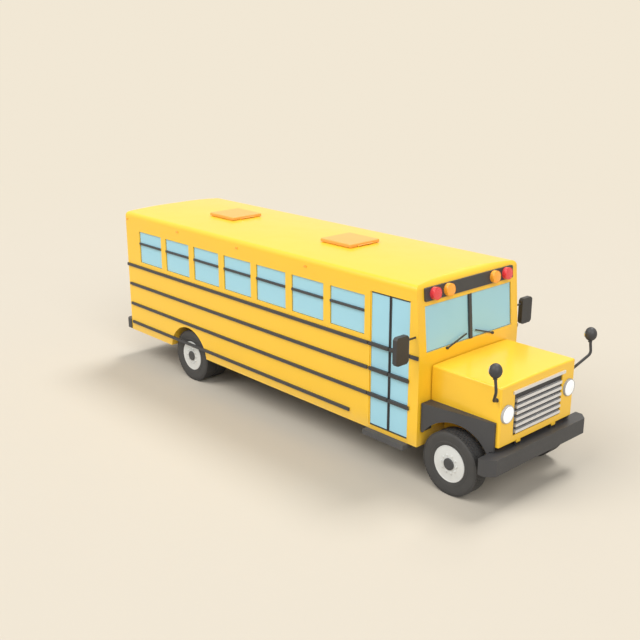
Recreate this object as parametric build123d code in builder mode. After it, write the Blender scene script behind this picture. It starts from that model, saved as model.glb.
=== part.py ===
from math import atan2, degrees, hypot
import os

from build123d import *

os.makedirs("parts", exist_ok=True)

# School bus, in millimetres. +X forward, +Y to the bus's left, +Z up.
# The origin is on the ground, midway along and across the whole bus.

# Coach body. Names that end in _AT are distances ahead of its rear face,
# and names that end in _SIDE are distances from the centre line.
BODY_WIDTH = 2440
BODY_LENGTH = 8089          # rear face to the cab's front face at the skirt
ROOF_TOP_Z = 3185           # crown of the roof on the centre line
HALF = BODY_WIDTH / 2
SKIRT_Z = 600               # ground to the body's lower edge
ROOF_SIDE_Z = ROOF_TOP_Z - 60  # where the side and roof faces would meet, unrounded
ROOF_SIDE_RADIUS = 90
ROOF_REAR_RADIUS = 100
ROOF_FRONT_RADIUS = 150
RAKE_Z = 2050               # the cab's front leans back above this height
RAKE = 0.09                 # millimetres back for each millimetre up
WALL = 50
ROOF_SEAM_Z = ROOF_SIDE_Z - 220  # joint between the roof and the wall panels
CORNER_POST = 110           # the front wall's depth with its corner posts
FLOOR_Z = 1180              # top of the cabin floor
FLOOR_THICK = 40
FIT = 0.3                   # gap between a piece and the seat that it rests on
RUN = 0.05                  # radial clearance of a pin or spindle that turns
INSIDE = HALF - WALL

# Front and rear reach
HOOD_FRONT_AT = BODY_LENGTH + 1305
BUMPER_FRONT_AT = HOOD_FRONT_AT + 131
CROSSVIEW_AT = HOOD_FRONT_AT + 66
CROSSVIEW_RADIUS = 95
TAIL = 190                  # rear bumper's reach behind the rear face
REAR = (TAIL - CROSSVIEW_AT - CROSSVIEW_RADIUS) / 2

# Wheels and axles
TYRE_RADIUS = 510
TYRE_SIDE = HALF - 60       # the tyres' outer faces
RIM_RADIUS = 290
RIM_THICK = 18
FRONT_AXLE_AT = BODY_LENGTH + 591
REAR_AXLE_AT = 2082
FRONT_TYRE_WIDTH = 280
REAR_TYRE_WIDTH = 250
DUAL_GAP = 40
DISC_SET_IN = 12            # tyre's outer face to the wheel disc
BARREL_SHORT = 10           # tyre's inner face to the rim barrel's end
HUB_CAP_RADIUS = 90
HUB_CAP_PROUD = 6           # beyond the tyres' outer faces
HUB_RADIUS = 78
HUB_BACK = 170              # tyre's outer face to the front hub's inner end
SPINDLE_RADIUS = 40
KINGPIN_SIDE = TYRE_SIDE - 240
KINGPIN_RADIUS = 20
KNUCKLE_RADIUS = 48
EAR_THICK = 30
YOKE_GAP = 8                # axle's eye to the knuckle's web
LOOSE = 1                   # clearance of the tie rod's left pin
STEER_ARM = 180
ARM_WIDE = 44
TIE_PIN_RADIUS = 12
TIE_ROD_RADIUS = 16
TIE_EYE_RADIUS = 18
ARCH_RADIUS = 600           # rear wheel arches in the side walls
ARCH_SKIN = 20
WHEELHOUSE_SIDE = TYRE_SIDE - 2 * REAR_TYRE_WIDTH - DUAL_GAP - 60
AXLE_TOP_Z = 575
AXLE_HIGH = 110
AXLE_WIDE = 100
AXLE_WEB = 40
AXLE_FLANGE = 27
AXLE_TUBE_RADIUS = 65
BANJO_RADIUS = 185          # the differential's housing, round the axle
BANJO_FLAT = 75
BANJO_HALF = 245
REAR_HUB_PAST = 20          # how far the rear hubs reach past the inner tyres
SPRING_HALF = 570
SPRING_EYE_RADIUS = 24
SPRING_THICK = 45
SPRING_WIDE = 71

# Entrance doorway's place in the right side
DOOR_FRONT_AT = BODY_LENGTH - 190
DOOR_REAR_AT = DOOR_FRONT_AT - 838

# Side windows, as many as fit behind the doorway
WINDOW_FIRST = 874          # rear face to the middle of the rearmost window
WINDOW_PITCH = 945
WINDOW_WIDTH = 785
WINDOW_POST = 60            # least distance from a window to the doorway
WINDOW_COUNT = int((DOOR_REAR_AT - WINDOW_POST - WINDOW_WIDTH / 2 - WINDOW_FIRST) // WINDOW_PITCH) + 1
WINDOW_LOW = 2142
WINDOW_HIGH = ROOF_SEAM_Z - 119
DRIVER_WINDOW_AT = BODY_LENGTH - 649
GLASS = 8
GLASS_SET_IN = 22           # a wall's outer face to its pane
SASH_Z = WINDOW_LOW + 0.612 * (WINDOW_HIGH - WINDOW_LOW)
SASH_HIGH = 38
SASH_PROUD = 8

# Windscreen, and the warning lamps over it and over the rear door
SCREEN_HALF = HALF - 166
SCREEN_LOW = 2085
SCREEN_HIGH = ROOF_SEAM_Z - 105
SCREEN_BAR = 65
PANEL_HALF = HALF - 152
PANEL_Z = ROOF_SEAM_Z + 70
PANEL_HIGH = 205
PANEL_CORNER = 24
PANEL_THICK = 34
LAMP_RADIUS = 98
LAMP_DEEP = 66
RED_LAMP_SIDE = PANEL_HALF - 193
AMBER_LAMP_SIDE = PANEL_HALF - 508

# Stop lamps and turn signals on the rear wall, and markers on the roof's sides
REAR_LAMP_SIDE = HALF - 160
REAR_LAMP_WIDE = 170
REAR_LAMP_HIGH = 120
REAR_LAMP_THICK = 24
STOP_LAMP_Z = 1480
TURN_LAMP_Z = 1340
MARKER_Z = ROOF_SEAM_Z + 85
MARKER_LONG = 62
MARKER_HIGH = 24
MARKER_THICK = 14
MARKERS_AT = (60, 1860, 3720, 5560)

# Rub rails
RAIL_HIGH = 55
RAIL_PROUD = 28
RAIL_CLEAR = 14             # rail's end to the knuckles of the door's hinges
RAIL_FRONT_AT = BODY_LENGTH - 204
# name, height, rear end, front end
RAILS = [
    ("belt", WINDOW_LOW - 108, 0, BODY_LENGTH - 9),
    ("seat", 1625, 60, RAIL_FRONT_AT),
    ("floor", 1192, 60, RAIL_FRONT_AT),
    ("skirt", 782, 70, BODY_LENGTH - 1459),
]
DOOR_RAILS = ("belt", "seat", "floor")
HINGED_RAILS = ("belt", "floor")

# Hinges: a pin between two lugs, and a barrel that turns on it
PIN_RADIUS = 5
BARREL_RADIUS = 9
LUG_THICK = 9
LUG_GAP = 1
SMALL_HINGE = 90            # length of one of the exit door's hinges

# Entrance doorway, closed by two leaves that swing out, and its steps
DOOR_LOW = 662
DOOR_HIGH = ROOF_SEAM_Z - 23
DOOR_GAP = 6
LEAF_SET_IN = 8
LEAF_THICK = 34
LEAF_EDGE = 16
MEETING_STILE = 15
MEETING_GAP = 16
LEAF_TAB = 8                # how far a leaf's hinge tab reaches past its barrel
BAR_CLEAR = 5               # hinge barrel to the ends of the bars across the leaves
DOOR_AXIS_OUT = 20          # wall's outer face to the leaves' hinge axes
DOOR_AXIS_PAST = 12         # doorway's edge to the hinge axes
TREAD = 280
STEP_PLATE = 30
STEP_COUNT = 2
FOOT_STEP_REAR_AT = DOOR_REAR_AT - 31
FOOT_STEP_FRONT_AT = DOOR_FRONT_AT + 6
FOOT_STEP_THICK = 85
FOOT_STEP_OUT = 110

# Rear emergency door, hinged on its right edge
EXIT_HALF = 350
EXIT_LOW = 1192
EXIT_HIGH = ROOF_SEAM_Z - 105
EXIT_GAP = 10
EXIT_AXIS_OUT = 20
EXIT_AXIS_PAST = 12
EXIT_HINGES = (EXIT_LOW + 208, EXIT_HIGH - 200)
EXIT_STRAP = 60
STRAP_START = 6             # door's edge to where a hinge strap meets its face
HANDLE_Z = 2000
HANDLE_BAR = 28
HANDLE_OUT = 42
HANDLE_PAST = 50            # panes' edge to the handle's fixed end
HANDLE_LONG = 150
EXIT_GLASS_HALF = 250
# name, low edge, high edge of the exit door's panes
EXIT_PANES = [("low", 1420, 1900), ("high", 2120, EXIT_HIGH - 100)]
REAR_PANE_WIDTH = HALF - EXIT_HALF - 350
REAR_PANE_SIDE = EXIT_HALF + 150 + REAR_PANE_WIDTH / 2

# Roof hatches
# name, middle of the lid ahead of the body's rear face
HATCHES = [("rear", 2130), ("front", 5360)]
HATCH_LONG = 740
HATCH_WIDE = 700
HATCH_RISE = 63             # roof's crown to the lids' tops
HATCH_TOP_Z = ROOF_TOP_Z + HATCH_RISE
HATCH_PLATE = 18
HATCH_SKIRT = 12
HATCH_SKIRT_Z = ROOF_TOP_Z + 9
CURB_GAP = 8
CURB_WALL = 20
HATCH_AXIS_AHEAD = 12
HATCH_AXIS_Z = ROOF_TOP_Z + 19
HATCH_HINGE = 360           # length of a lid's hinge
HATCH_CHAMFER = 12

# Hood, hinged at its lower front edge, with its fenders
HOOD_CLEAR = 22             # cab's front face to the hood's rear edge
HOOD_HALF = HALF - 286
HOOD_LOW = 940
HOOD_CROWN_Z = 1882
HOOD_SIDE_Z = HOOD_CROWN_Z - 14
HOOD_EDGE = 30
HOOD_SKIN = 25
HOOD_ARCH = 630
HOOD_PIVOT_BACK = 12        # hood's front face to its hinge axis
HOOD_PIVOT_Z = 903
HOOD_PIN_RADIUS = 8
HOOD_BARREL_RADIUS = 14
HOOD_HINGE_SIDE = HOOD_HALF - 484
HOOD_HINGE_LONG = 120
HOOD_TAB = 10               # how far the hinge tabs reach into the hood's front
FENDER_REAR_SIDE = TYRE_SIDE
FENDER_FRONT_SIDE = HOOD_HALF + 41
FENDER_FRONT_AT = HOOD_FRONT_AT - 59
FENDER_TOP = 1320
FENDER_REAR_LOW = 850
FENDER_FRONT_LOW = 700
FENDER_SKIN = 20
LINER_SIDE = TYRE_SIDE - FRONT_TYRE_WIDTH - 280
LINER_LOW = 750
FENDER_CLEAR = 12           # fenders and liners to the bumper

# Grille and headlamps on the hood's front face
GRILLE_HALF = HOOD_HALF - 329
GRILLE_LOW = 1040
GRILLE_HIGH = 1705
GRILLE_BACK = 6
GRILLE_BORDER = 34
SLAT_COUNT = 7              # with the wider bar over the opening
SLAT_HIGH = 46
SLAT_PROUD = 44             # from the back plate
TOP_BAR_HALF = GRILLE_HALF + 50
HEADLAMP_SIDE = HOOD_HALF - 151
HEADLAMP_Z = 1434
HEADLAMP_RADIUS = 125
HEADLAMP_DEEP = 32

# Bumpers and chassis
BUMPER_LOW = 600
BUMPER_HIGH = 855
BUMPER_DEEP = 240
BUMPER_HALF = HALF + 30
BUMPER_CHAMFER = 120
PLATE_HOLE_ACROSS = 178     # number plate holes in the front bumper
PLATE_HOLE_UP = 121
PLATE_HOLE_RADIUS = 3.5
PLATE_HOLE_DEEP = 25
REAR_BUMPER_LOW = 612
REAR_BUMPER_HIGH = 820
REAR_BUMPER_HALF = HALF + 15
REAR_BUMPER_CHAMFER = 60
FRAME_SIDE = WHEELHOUSE_SIDE - 130
FRAME_LOW = 720
FRAME_HIGH = 950
FRAME_FLANGE = 75
FRAME_WEB = 10
FRAME_REAR_AT = 60
CROSS_WIDE = 60
CROSS_FIRST_AT = 2800
CROSS_FRONT_AT = HOOD_FRONT_AT - 174
CROSS_CAB_AT = BODY_LENGTH - 89
# the others keep clear of the differential, the same distance apart ahead of it
CROSS_PITCH = 1300
CROSS_COUNT = int((CROSS_CAB_AT - CROSS_FIRST_AT - CROSS_WIDE * 2) // CROSS_PITCH) + 1
CROSSMEMBERS_AT = [300, 1350]
CROSSMEMBERS_AT += [CROSS_FIRST_AT + number * CROSS_PITCH for number in range(CROSS_COUNT)]
CROSSMEMBERS_AT += [CROSS_CAB_AT, CROSS_FRONT_AT]

# Engine, fuel tank and exhaust
ENGINE_REAR_AT = BODY_LENGTH + 171
ENGINE_FRONT_AT = HOOD_FRONT_AT - 254
ENGINE_HALF = FRAME_SIDE - 120
ENGINE_LOW = 770
ENGINE_HIGH = 1600
ENGINE_MOUNT_LONG = 160
ENGINE_MOUNT_HIGH = 110
TANK_REAR_AT = 4300
TANK_FRONT_AT = 5600
TANK_SIDE = HALF - 210
TANK_LOW = 650
TANK_HIGH = 1080
TANK_CORNER = 60
PIPE_SIDE = FRAME_SIDE + 55
PIPE_Z = 830
PIPE_RADIUS = 42
PIPE_FRONT_AT = BODY_LENGTH - 489
PIPE_DROP_AT = 420
PIPE_END_AT = 120
PIPE_END_Z = 530
SILENCER_REAR_AT = 3300
SILENCER_LONG = 1300
SILENCER_SIDE = PIPE_SIDE + 90
SILENCER_RADIUS = 130
HANGERS_AT = (600, 3600, 4300, PIPE_FRONT_AT - 400)
HANGER_HALF = 15

# Mirrors
MIRROR_AT = BODY_LENGTH - 89
MIRROR_SIDE = HALF + 315
MIRROR_Z = 2220
MIRROR_WIDE = 270
MIRROR_HIGH = 440
MIRROR_THICK = 80
MIRROR_CORNER = 36
MIRROR_ARM_Z = 2350
MIRROR_ARM_RADIUS = 16
CROSSVIEW_SIDE = HOOD_HALF + 266
CROSSVIEW_Z = 2220
CROSSVIEW_HIGH = 220
# share of the radius, share of half the height: a head's outline from its foot up
CROSSVIEW_BANDS = [(0, -1), (0.55, -1), (1, -0.4), (1, 0.4), (0.55, 1), (0, 1)]
STALK_RADIUS = 19
STALK_FOOT_AT = HOOD_FRONT_AT - 74
STALK_FOOT_Z = 1670
STALK_OUT = 80
STALK_KNEE_AT = HOOD_FRONT_AT + 96
STALK_KNEE_SIDE = CROSSVIEW_SIDE
STALK_KNEE_Z = 1910

# Wipers
WIPER_DROP = 20             # windscreen's lower edge to the pivots
WIPER_OUT = 14
WIPER_WIDE = 22
WIPER_THICK = 14
# name, pivot's side, tip's side, tip's height
WIPERS = [("right", -590, -130, 2195), ("left", 530, 95, 2205)]

# Seats and driver's place
SEAT_FIRST = 520
SEAT_PITCH = 760
SEAT_DEEP = 420
SEAT_ROWS = int((DOOR_REAR_AT - WINDOW_POST - SEAT_FIRST - SEAT_DEEP) // SEAT_PITCH) + 1
SEAT_AISLE = 170
SEAT_WIDE = INSIDE - SEAT_AISLE - 40
SEAT_HIGH = 420
SEAT_CUSHION = 120
SEAT_BACK = 100
SEAT_BACK_HIGH = 1080
SEAT_LEAN = 60              # how far the top of a back lies behind its foot
LEG_WIDE = 40
LEG_SET_IN = 60
DRIVER_AT = BODY_LENGTH - 839
DRIVER_SIDE = HALF - 580
DRIVER_WIDE = 500
DRIVER_CUSHION = 500
DRIVER_BACK_HIGH = 1140
DRIVER_LEAN = 80
PEDESTAL_HALF = 170

# Dashboard, and the steering column and wheel
DASH_SIDE = 40              # cabin's left wall to the dashboard's end
DASH_LONG = BODY_WIDTH - 940
DASH_LOW = 520              # heights above the floor
DASH_NOSE_LOW = 700
DASH_NOSE_HIGH = 820
DASH_FOOT_DEEP = 120        # depths behind the cab's front wall
DASH_NOSE_LOW_DEEP = 260
DASH_NOSE_DEEP = 240
DASH_TOP_UNDER = 10         # below the height where the cab's front leans back
COLUMN_BACK = 350
COLUMN_HIGH = 800
COLUMN_TILT = (-0.7, 0, 0.714)
COLUMN_RADIUS = 35
COLUMN_START = 380
COLUMN_LONG = 360
WHEEL_BOSS_RADIUS = 70
WHEEL_BOSS_THICK = 22
WHEEL_BOSS_AT = 30
SPOKE_WIDE = 30
SPOKE_ANGLES = (90, 210, 330)
WHEEL_RING_RADIUS = 230
WHEEL_RING_TUBE = 17

# Stop arm on the left side
STOP_AXIS_AT = BODY_LENGTH - 1099
STOP_AXIS_OUT = 44
STOP_Z = 1830
STOP_ACROSS = 450
STOP_THICK = 8
STOP_HINGE_HIGH = 160
STOP_TAB = 60               # hinge axis to where its tab ends on the sign
STOP_NEAR = 30              # hinge axis to the sign's near edge
STOP_FOOT_REAR = 40         # bracket's reach behind and ahead of the hinge axis
STOP_FOOT_FRONT = 60
STOP_FOOT_THICK = 18
STOP_FOOT_HIGH = 180

RIGHT = -1
LEFT = 1
SIDES = [("right", RIGHT), ("left", LEFT)]


def fore(distance):
    """X of a place given as its distance ahead of the body's rear face."""
    return REAR + distance


def save(piece, name):
    piece.label = name
    export_step(piece, f"parts/{name}.step")


CAB_FRONT = fore(BODY_LENGTH)
FRONT_AXLE = fore(FRONT_AXLE_AT)
REAR_AXLE = fore(REAR_AXLE_AT)
HOOD_FRONT = fore(HOOD_FRONT_AT)
HOOD_REAR = CAB_FRONT + HOOD_CLEAR
DOOR_REAR = fore(DOOR_REAR_AT)
DOOR_FRONT = fore(DOOR_FRONT_AT)
WINDOWS = [fore(WINDOW_FIRST + number * WINDOW_PITCH) for number in range(WINDOW_COUNT)]
WINDOW_MID_Z = (WINDOW_LOW + WINDOW_HIGH) / 2
WINDOW_TALL = WINDOW_HIGH - WINDOW_LOW
FLOOR_UNDER = FLOOR_Z - FLOOR_THICK


def coach_front(z):
    """X of the cab's front face at a height."""
    return CAB_FRONT - max(0, z - RAKE_Z) * RAKE


def coach_block(inset, low):
    """Solid of the coach body from a height up, rounded outside and plain where it is moved in."""
    half = HALF - inset
    eave = ROOF_SIDE_Z - inset
    high = ROOF_TOP_Z - inset
    rear = REAR + inset
    with BuildPart() as block:
        with BuildSketch(Plane.YZ.offset(rear)) as section:
            with BuildLine():
                Polyline((half, eave), (half, low), (-half, low), (-half, eave))
                ThreePointArc((-half, eave), (0, high), (half, eave))
            make_face()
            if inset == 0:
                fillet(section.vertices().group_by(Axis.Y)[-1], ROOF_SIDE_RADIUS)
        extrude(amount=CAB_FRONT - inset - rear)
        with BuildSketch(Plane.XZ.offset(-half)) as side:
            with BuildLine():
                Polyline(
                    (rear, low),
                    (CAB_FRONT - inset, low),
                    (CAB_FRONT - inset, RAKE_Z),
                    (coach_front(high) - inset, high),
                    (rear, high),
                    close=True,
                )
            make_face()
            if inset == 0:
                fillet(side.vertices().group_by(Axis.Y)[-1].sort_by(Axis.X)[-1], ROOF_FRONT_RADIUS)
                fillet(side.vertices().group_by(Axis.Y)[-1].sort_by(Axis.X)[0], ROOF_REAR_RADIUS)
        extrude(amount=2 * half, mode=Mode.INTERSECT)
    return block.part


with BuildPart() as shell:
    add(coach_block(0, SKIRT_Z))
    add(coach_block(WALL, SKIRT_Z - WALL), mode=Mode.SUBTRACT)


def panel(rear, front, y_low, y_high, z_low, z_high):
    """The part of the coach's shell that lies inside a box."""
    with BuildPart() as piece:
        add(shell.part)
        with Locations(((rear + front) / 2, (y_low + y_high) / 2, (z_low + z_high) / 2)):
            Box(front - rear, y_high - y_low, z_high - z_low, mode=Mode.INTERSECT)
    return piece.part


def block(x_low, x_high, y_low, y_high, z_low, z_high, mode=Mode.ADD):
    """A box between named limits, in the part being built."""
    with Locations((x_low, y_low, z_low)):
        Box(
            x_high - x_low,
            y_high - y_low,
            z_high - z_low,
            align=(Align.MIN, Align.MIN, Align.MIN),
            mode=mode,
        )


def side_plane(side, out):
    """Upright plane beside the bus, a distance outside the body's side face."""
    return Plane.XZ.offset(-side * (HALF + out))


def hinge_lugs(axis_plane, length, reach, pin=PIN_RADIUS, radius=BARREL_RADIUS):
    """A pin along the plane's normal between two lugs that reach along its X."""
    with BuildSketch(axis_plane.offset(-length / 2)) as pin_end:
        Circle(pin)
    extrude(pin_end.sketch, amount=length)
    for start in (-length / 2, length / 2 - LUG_THICK):
        with BuildSketch(axis_plane.offset(start)) as lug:
            Circle(radius)
            with Locations((reach / 2, 0)):
                Rectangle(reach, 2 * radius)
        extrude(lug.sketch, amount=LUG_THICK)


def hinge_barrel(axis_plane, length, reach, pin=PIN_RADIUS, radius=BARREL_RADIUS):
    """A barrel on the pin, with a tab that reaches along the plane's X."""
    barrel = length - 2 * LUG_THICK - 2 * LUG_GAP
    with BuildSketch(axis_plane.offset(-barrel / 2)) as section:
        Circle(radius)
        with Locations((reach / 2, 0)):
            Rectangle(reach, 2 * radius)
        Circle(pin + RUN, mode=Mode.SUBTRACT)
    extrude(section.sketch, amount=barrel)


# Side walls, each with its windows, rear wheel arch and wheelhouse
for side_name, side in SIDES:
    with BuildPart() as side_wall:
        y_low, y_high = sorted((side * HALF, side * INSIDE))
        add(panel(REAR + WALL, CAB_FRONT - CORNER_POST, y_low, y_high, SKIRT_Z, ROOF_SEAM_Z))
        with BuildSketch(side_plane(side, 1)):
            with Locations(*[(x, WINDOW_MID_Z) for x in WINDOWS]):
                Rectangle(WINDOW_WIDTH, WINDOW_TALL)
            if side == LEFT:
                with Locations((fore(DRIVER_WINDOW_AT), WINDOW_MID_Z)):
                    Rectangle(WINDOW_WIDTH, WINDOW_TALL)
            else:
                with Locations(((DOOR_REAR + DOOR_FRONT) / 2, (DOOR_LOW + DOOR_HIGH) / 2)):
                    Rectangle(DOOR_FRONT - DOOR_REAR, DOOR_HIGH - DOOR_LOW)
            with Locations((REAR_AXLE, TYRE_RADIUS)):
                Circle(ARCH_RADIUS)
        extrude(amount=side * (WALL + 2), mode=Mode.SUBTRACT)
        with BuildSketch(side_plane(side, -WALL)) as arch_band:
            with Locations((REAR_AXLE, TYRE_RADIUS)):
                Circle(ARCH_RADIUS + ARCH_SKIN)
                Circle(ARCH_RADIUS, mode=Mode.SUBTRACT)
            with Locations((REAR_AXLE, SKIRT_Z)):
                Rectangle(3 * ARCH_RADIUS, 3 * ARCH_RADIUS, align=(Align.CENTER, Align.MIN), mode=Mode.INTERSECT)
        extrude(amount=side * (INSIDE - WHEELHOUSE_SIDE))
        with BuildSketch(Plane.XZ.offset(-side * WHEELHOUSE_SIDE)) as arch_end:
            with Locations((REAR_AXLE, TYRE_RADIUS)):
                Circle(ARCH_RADIUS + ARCH_SKIN)
            with Locations((REAR_AXLE, SKIRT_Z)):
                Rectangle(3 * ARCH_RADIUS, 3 * ARCH_RADIUS, align=(Align.CENTER, Align.MIN), mode=Mode.INTERSECT)
        extrude(amount=side * ARCH_SKIN)
    save(side_wall.part, f"side_wall_{side_name}")

# Roof with the curbs of its two hatches
with BuildPart() as roof:
    add(panel(REAR, CAB_FRONT, -HALF, HALF, ROOF_SEAM_Z, ROOF_TOP_Z + WALL))
    curb_long = HATCH_LONG - 2 * (HATCH_SKIRT + CURB_GAP)
    curb_wide = HATCH_WIDE - 2 * (HATCH_SKIRT + CURB_GAP)
    curb_top = HATCH_TOP_Z - HATCH_PLATE - FIT
    for hatch_name, middle in HATCHES:
        with BuildSketch(Plane.XY.offset(ROOF_TOP_Z - WALL)):
            with Locations((fore(middle), 0)):
                Rectangle(curb_long, curb_wide)
        extrude(amount=curb_top - ROOF_TOP_Z + WALL)
        with BuildSketch(Plane.XY.offset(ROOF_TOP_Z - 3 * WALL)):
            with Locations((fore(middle), 0)):
                Rectangle(curb_long - 2 * CURB_WALL, curb_wide - 2 * CURB_WALL)
        extrude(amount=5 * WALL, mode=Mode.SUBTRACT)
        axis_x = fore(middle) + HATCH_LONG / 2 + HATCH_AXIS_AHEAD
        axis_plane = Plane(origin=(axis_x, 0, HATCH_AXIS_Z), x_dir=(0, 0, -1), z_dir=(0, 1, 0))
        hinge_lugs(axis_plane, HATCH_HINGE, HATCH_AXIS_Z - ROOF_TOP_Z + WALL / 2)
save(roof.part, "roof")

# Front wall: windscreen frame, corner posts and bulkhead over the chassis
with BuildPart() as front_wall:
    add(panel(CAB_FRONT - CORNER_POST, CAB_FRONT, -HALF, HALF, SKIRT_Z, ROOF_SEAM_Z))
    with BuildSketch(Plane.YZ.offset(CAB_FRONT - 2 * CORNER_POST)):
        with Locations((0, (SCREEN_LOW + SCREEN_HIGH) / 2)):
            Rectangle(2 * SCREEN_HALF, SCREEN_HIGH - SCREEN_LOW)
        with Locations((0, SKIRT_Z)):
            Rectangle(2 * WHEELHOUSE_SIDE, 2 * (FRAME_HIGH + WALL - SKIRT_Z))
    extrude(amount=3 * CORNER_POST, mode=Mode.SUBTRACT)
save(front_wall.part, "front_wall")

# Rear wall with the doorway, two windows and the exit door's hinge lugs
with BuildPart() as rear_wall:
    add(panel(REAR, REAR + WALL, -HALF, HALF, SKIRT_Z, ROOF_SEAM_Z))
    with BuildSketch(Plane.YZ.offset(REAR - 1)):
        with Locations((0, (EXIT_LOW + EXIT_HIGH) / 2)):
            Rectangle(2 * EXIT_HALF, EXIT_HIGH - EXIT_LOW)
        with Locations((-REAR_PANE_SIDE, WINDOW_MID_Z), (REAR_PANE_SIDE, WINDOW_MID_Z)):
            Rectangle(REAR_PANE_WIDTH, WINDOW_TALL)
    extrude(amount=WALL + 2, mode=Mode.SUBTRACT)
    exit_axis = (REAR - EXIT_AXIS_OUT, -EXIT_HALF - EXIT_AXIS_PAST)
    for z in EXIT_HINGES:
        hinge_lugs(Plane(origin=(*exit_axis, z), x_dir=(1, 0, 0), z_dir=(0, 0, 1)), SMALL_HINGE, EXIT_AXIS_OUT + WALL / 2)
save(rear_wall.part, "rear_wall")

# Cabin floor with its sills, the stepwell and the step below the doorway
with BuildPart() as floor:
    block(REAR + WALL, CAB_FRONT - WALL, -INSIDE, INSIDE, FLOOR_UNDER, FLOOR_Z)
    well_inner = -INSIDE + STEP_COUNT * TREAD
    block(DOOR_REAR, DOOR_FRONT, -INSIDE, well_inner, FLOOR_UNDER - 1, FLOOR_Z + 1, mode=Mode.SUBTRACT)
    rise = (FLOOR_Z - DOOR_LOW) / STEP_COUNT
    with BuildSketch(Plane.YZ.offset(DOOR_REAR)):
        with BuildLine():
            Polyline(
                (-INSIDE, DOOR_LOW),
                (-INSIDE + TREAD, DOOR_LOW),
                (-INSIDE + TREAD, DOOR_LOW + rise),
                (well_inner, DOOR_LOW + rise),
                (well_inner, FLOOR_Z),
                (well_inner + STEP_PLATE, FLOOR_Z),
                (well_inner + STEP_PLATE, DOOR_LOW + rise - STEP_PLATE),
                (-INSIDE + TREAD + STEP_PLATE, DOOR_LOW + rise - STEP_PLATE),
                (-INSIDE + TREAD + STEP_PLATE, DOOR_LOW - STEP_PLATE),
                (-INSIDE, DOOR_LOW - STEP_PLATE),
                close=True,
            )
        make_face()
    extrude(amount=DOOR_FRONT - DOOR_REAR)
    for x_low, x_high in ((DOOR_REAR - ARCH_SKIN, DOOR_REAR), (DOOR_FRONT, DOOR_FRONT + ARCH_SKIN)):
        block(x_low, x_high, -INSIDE, well_inner + STEP_PLATE, DOOR_LOW - STEP_PLATE, FLOOR_UNDER)
    for side in (RIGHT, LEFT):
        y_low, y_high = sorted((side * FRAME_SIDE, side * (FRAME_SIDE - FRAME_FLANGE)))
        block(fore(FRAME_REAR_AT), CAB_FRONT - CORNER_POST, y_low, y_high, FRAME_HIGH + FIT, FLOOR_UNDER)
    block(
        fore(FOOT_STEP_REAR_AT),
        fore(FOOT_STEP_FRONT_AT),
        -HALF - FOOT_STEP_OUT,
        -INSIDE + TREAD / 2,
        SKIRT_Z - FIT - FOOT_STEP_THICK,
        SKIRT_Z - FIT,
    )
    block(DOOR_REAR, DOOR_FRONT, -INSIDE + FIT, -INSIDE + TREAD / 2, SKIRT_Z - 1, DOOR_LOW - STEP_PLATE + 1)
save(floor.part, "floor")

# Rub rails, with the lugs and pins of the entrance door's hinges and the stop arm's
leaf_axes = [
    ("rear", DOOR_REAR - DOOR_AXIS_PAST, RIGHT),
    ("front", DOOR_FRONT + DOOR_AXIS_PAST, LEFT),
]
door_axis_y = -HALF - DOOR_AXIS_OUT
stop_axis = (fore(STOP_AXIS_AT), HALF + STOP_AXIS_OUT, STOP_Z)
rear_rail_end = DOOR_REAR - DOOR_AXIS_PAST - BARREL_RADIUS - RAIL_CLEAR
front_rail_start = DOOR_FRONT + DOOR_AXIS_PAST + BARREL_RADIUS + RAIL_CLEAR


def rail(side, start, end, z):
    """One rub rail on a side of the body."""
    with BuildSketch(side_plane(side, RAIL_PROUD)) as face:
        with Locations(((start + end) / 2, z)):
            Rectangle(end - start, RAIL_HIGH)
    extrude(face.sketch, amount=side * RAIL_PROUD)


with BuildPart() as rub_rails:
    for rail_name, z, rear_at, front_at in RAILS:
        rail(LEFT, fore(rear_at), fore(front_at), z)
        if rail_name in DOOR_RAILS:
            rail(RIGHT, fore(rear_at), rear_rail_end, z)
        else:
            rail(RIGHT, fore(rear_at), fore(front_at), z)
        if fore(front_at) > front_rail_start:
            rail(RIGHT, front_rail_start, fore(front_at), z)
        if rail_name in HINGED_RAILS:
            for leaf_name, axis_x, away in leaf_axes:
                axis_plane = Plane(origin=(axis_x, door_axis_y, z), x_dir=(0, 1, 0), z_dir=(0, 0, 1))
                hinge_lugs(axis_plane, RAIL_HIGH, DOOR_AXIS_OUT - FIT)
    block(
        fore(STOP_AXIS_AT) - STOP_FOOT_REAR,
        fore(STOP_AXIS_AT) + STOP_FOOT_FRONT,
        HALF + FIT,
        HALF + STOP_FOOT_THICK,
        STOP_Z - STOP_FOOT_HIGH / 2,
        STOP_Z + STOP_FOOT_HIGH / 2,
    )
    stop_hinge = Plane(origin=stop_axis, x_dir=(0, -1, 0), z_dir=(0, 0, 1))
    hinge_lugs(stop_hinge, STOP_HINGE_HIGH, STOP_AXIS_OUT - STOP_FOOT_THICK / 2)
save(rub_rails.part, "rub_rails")

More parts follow.
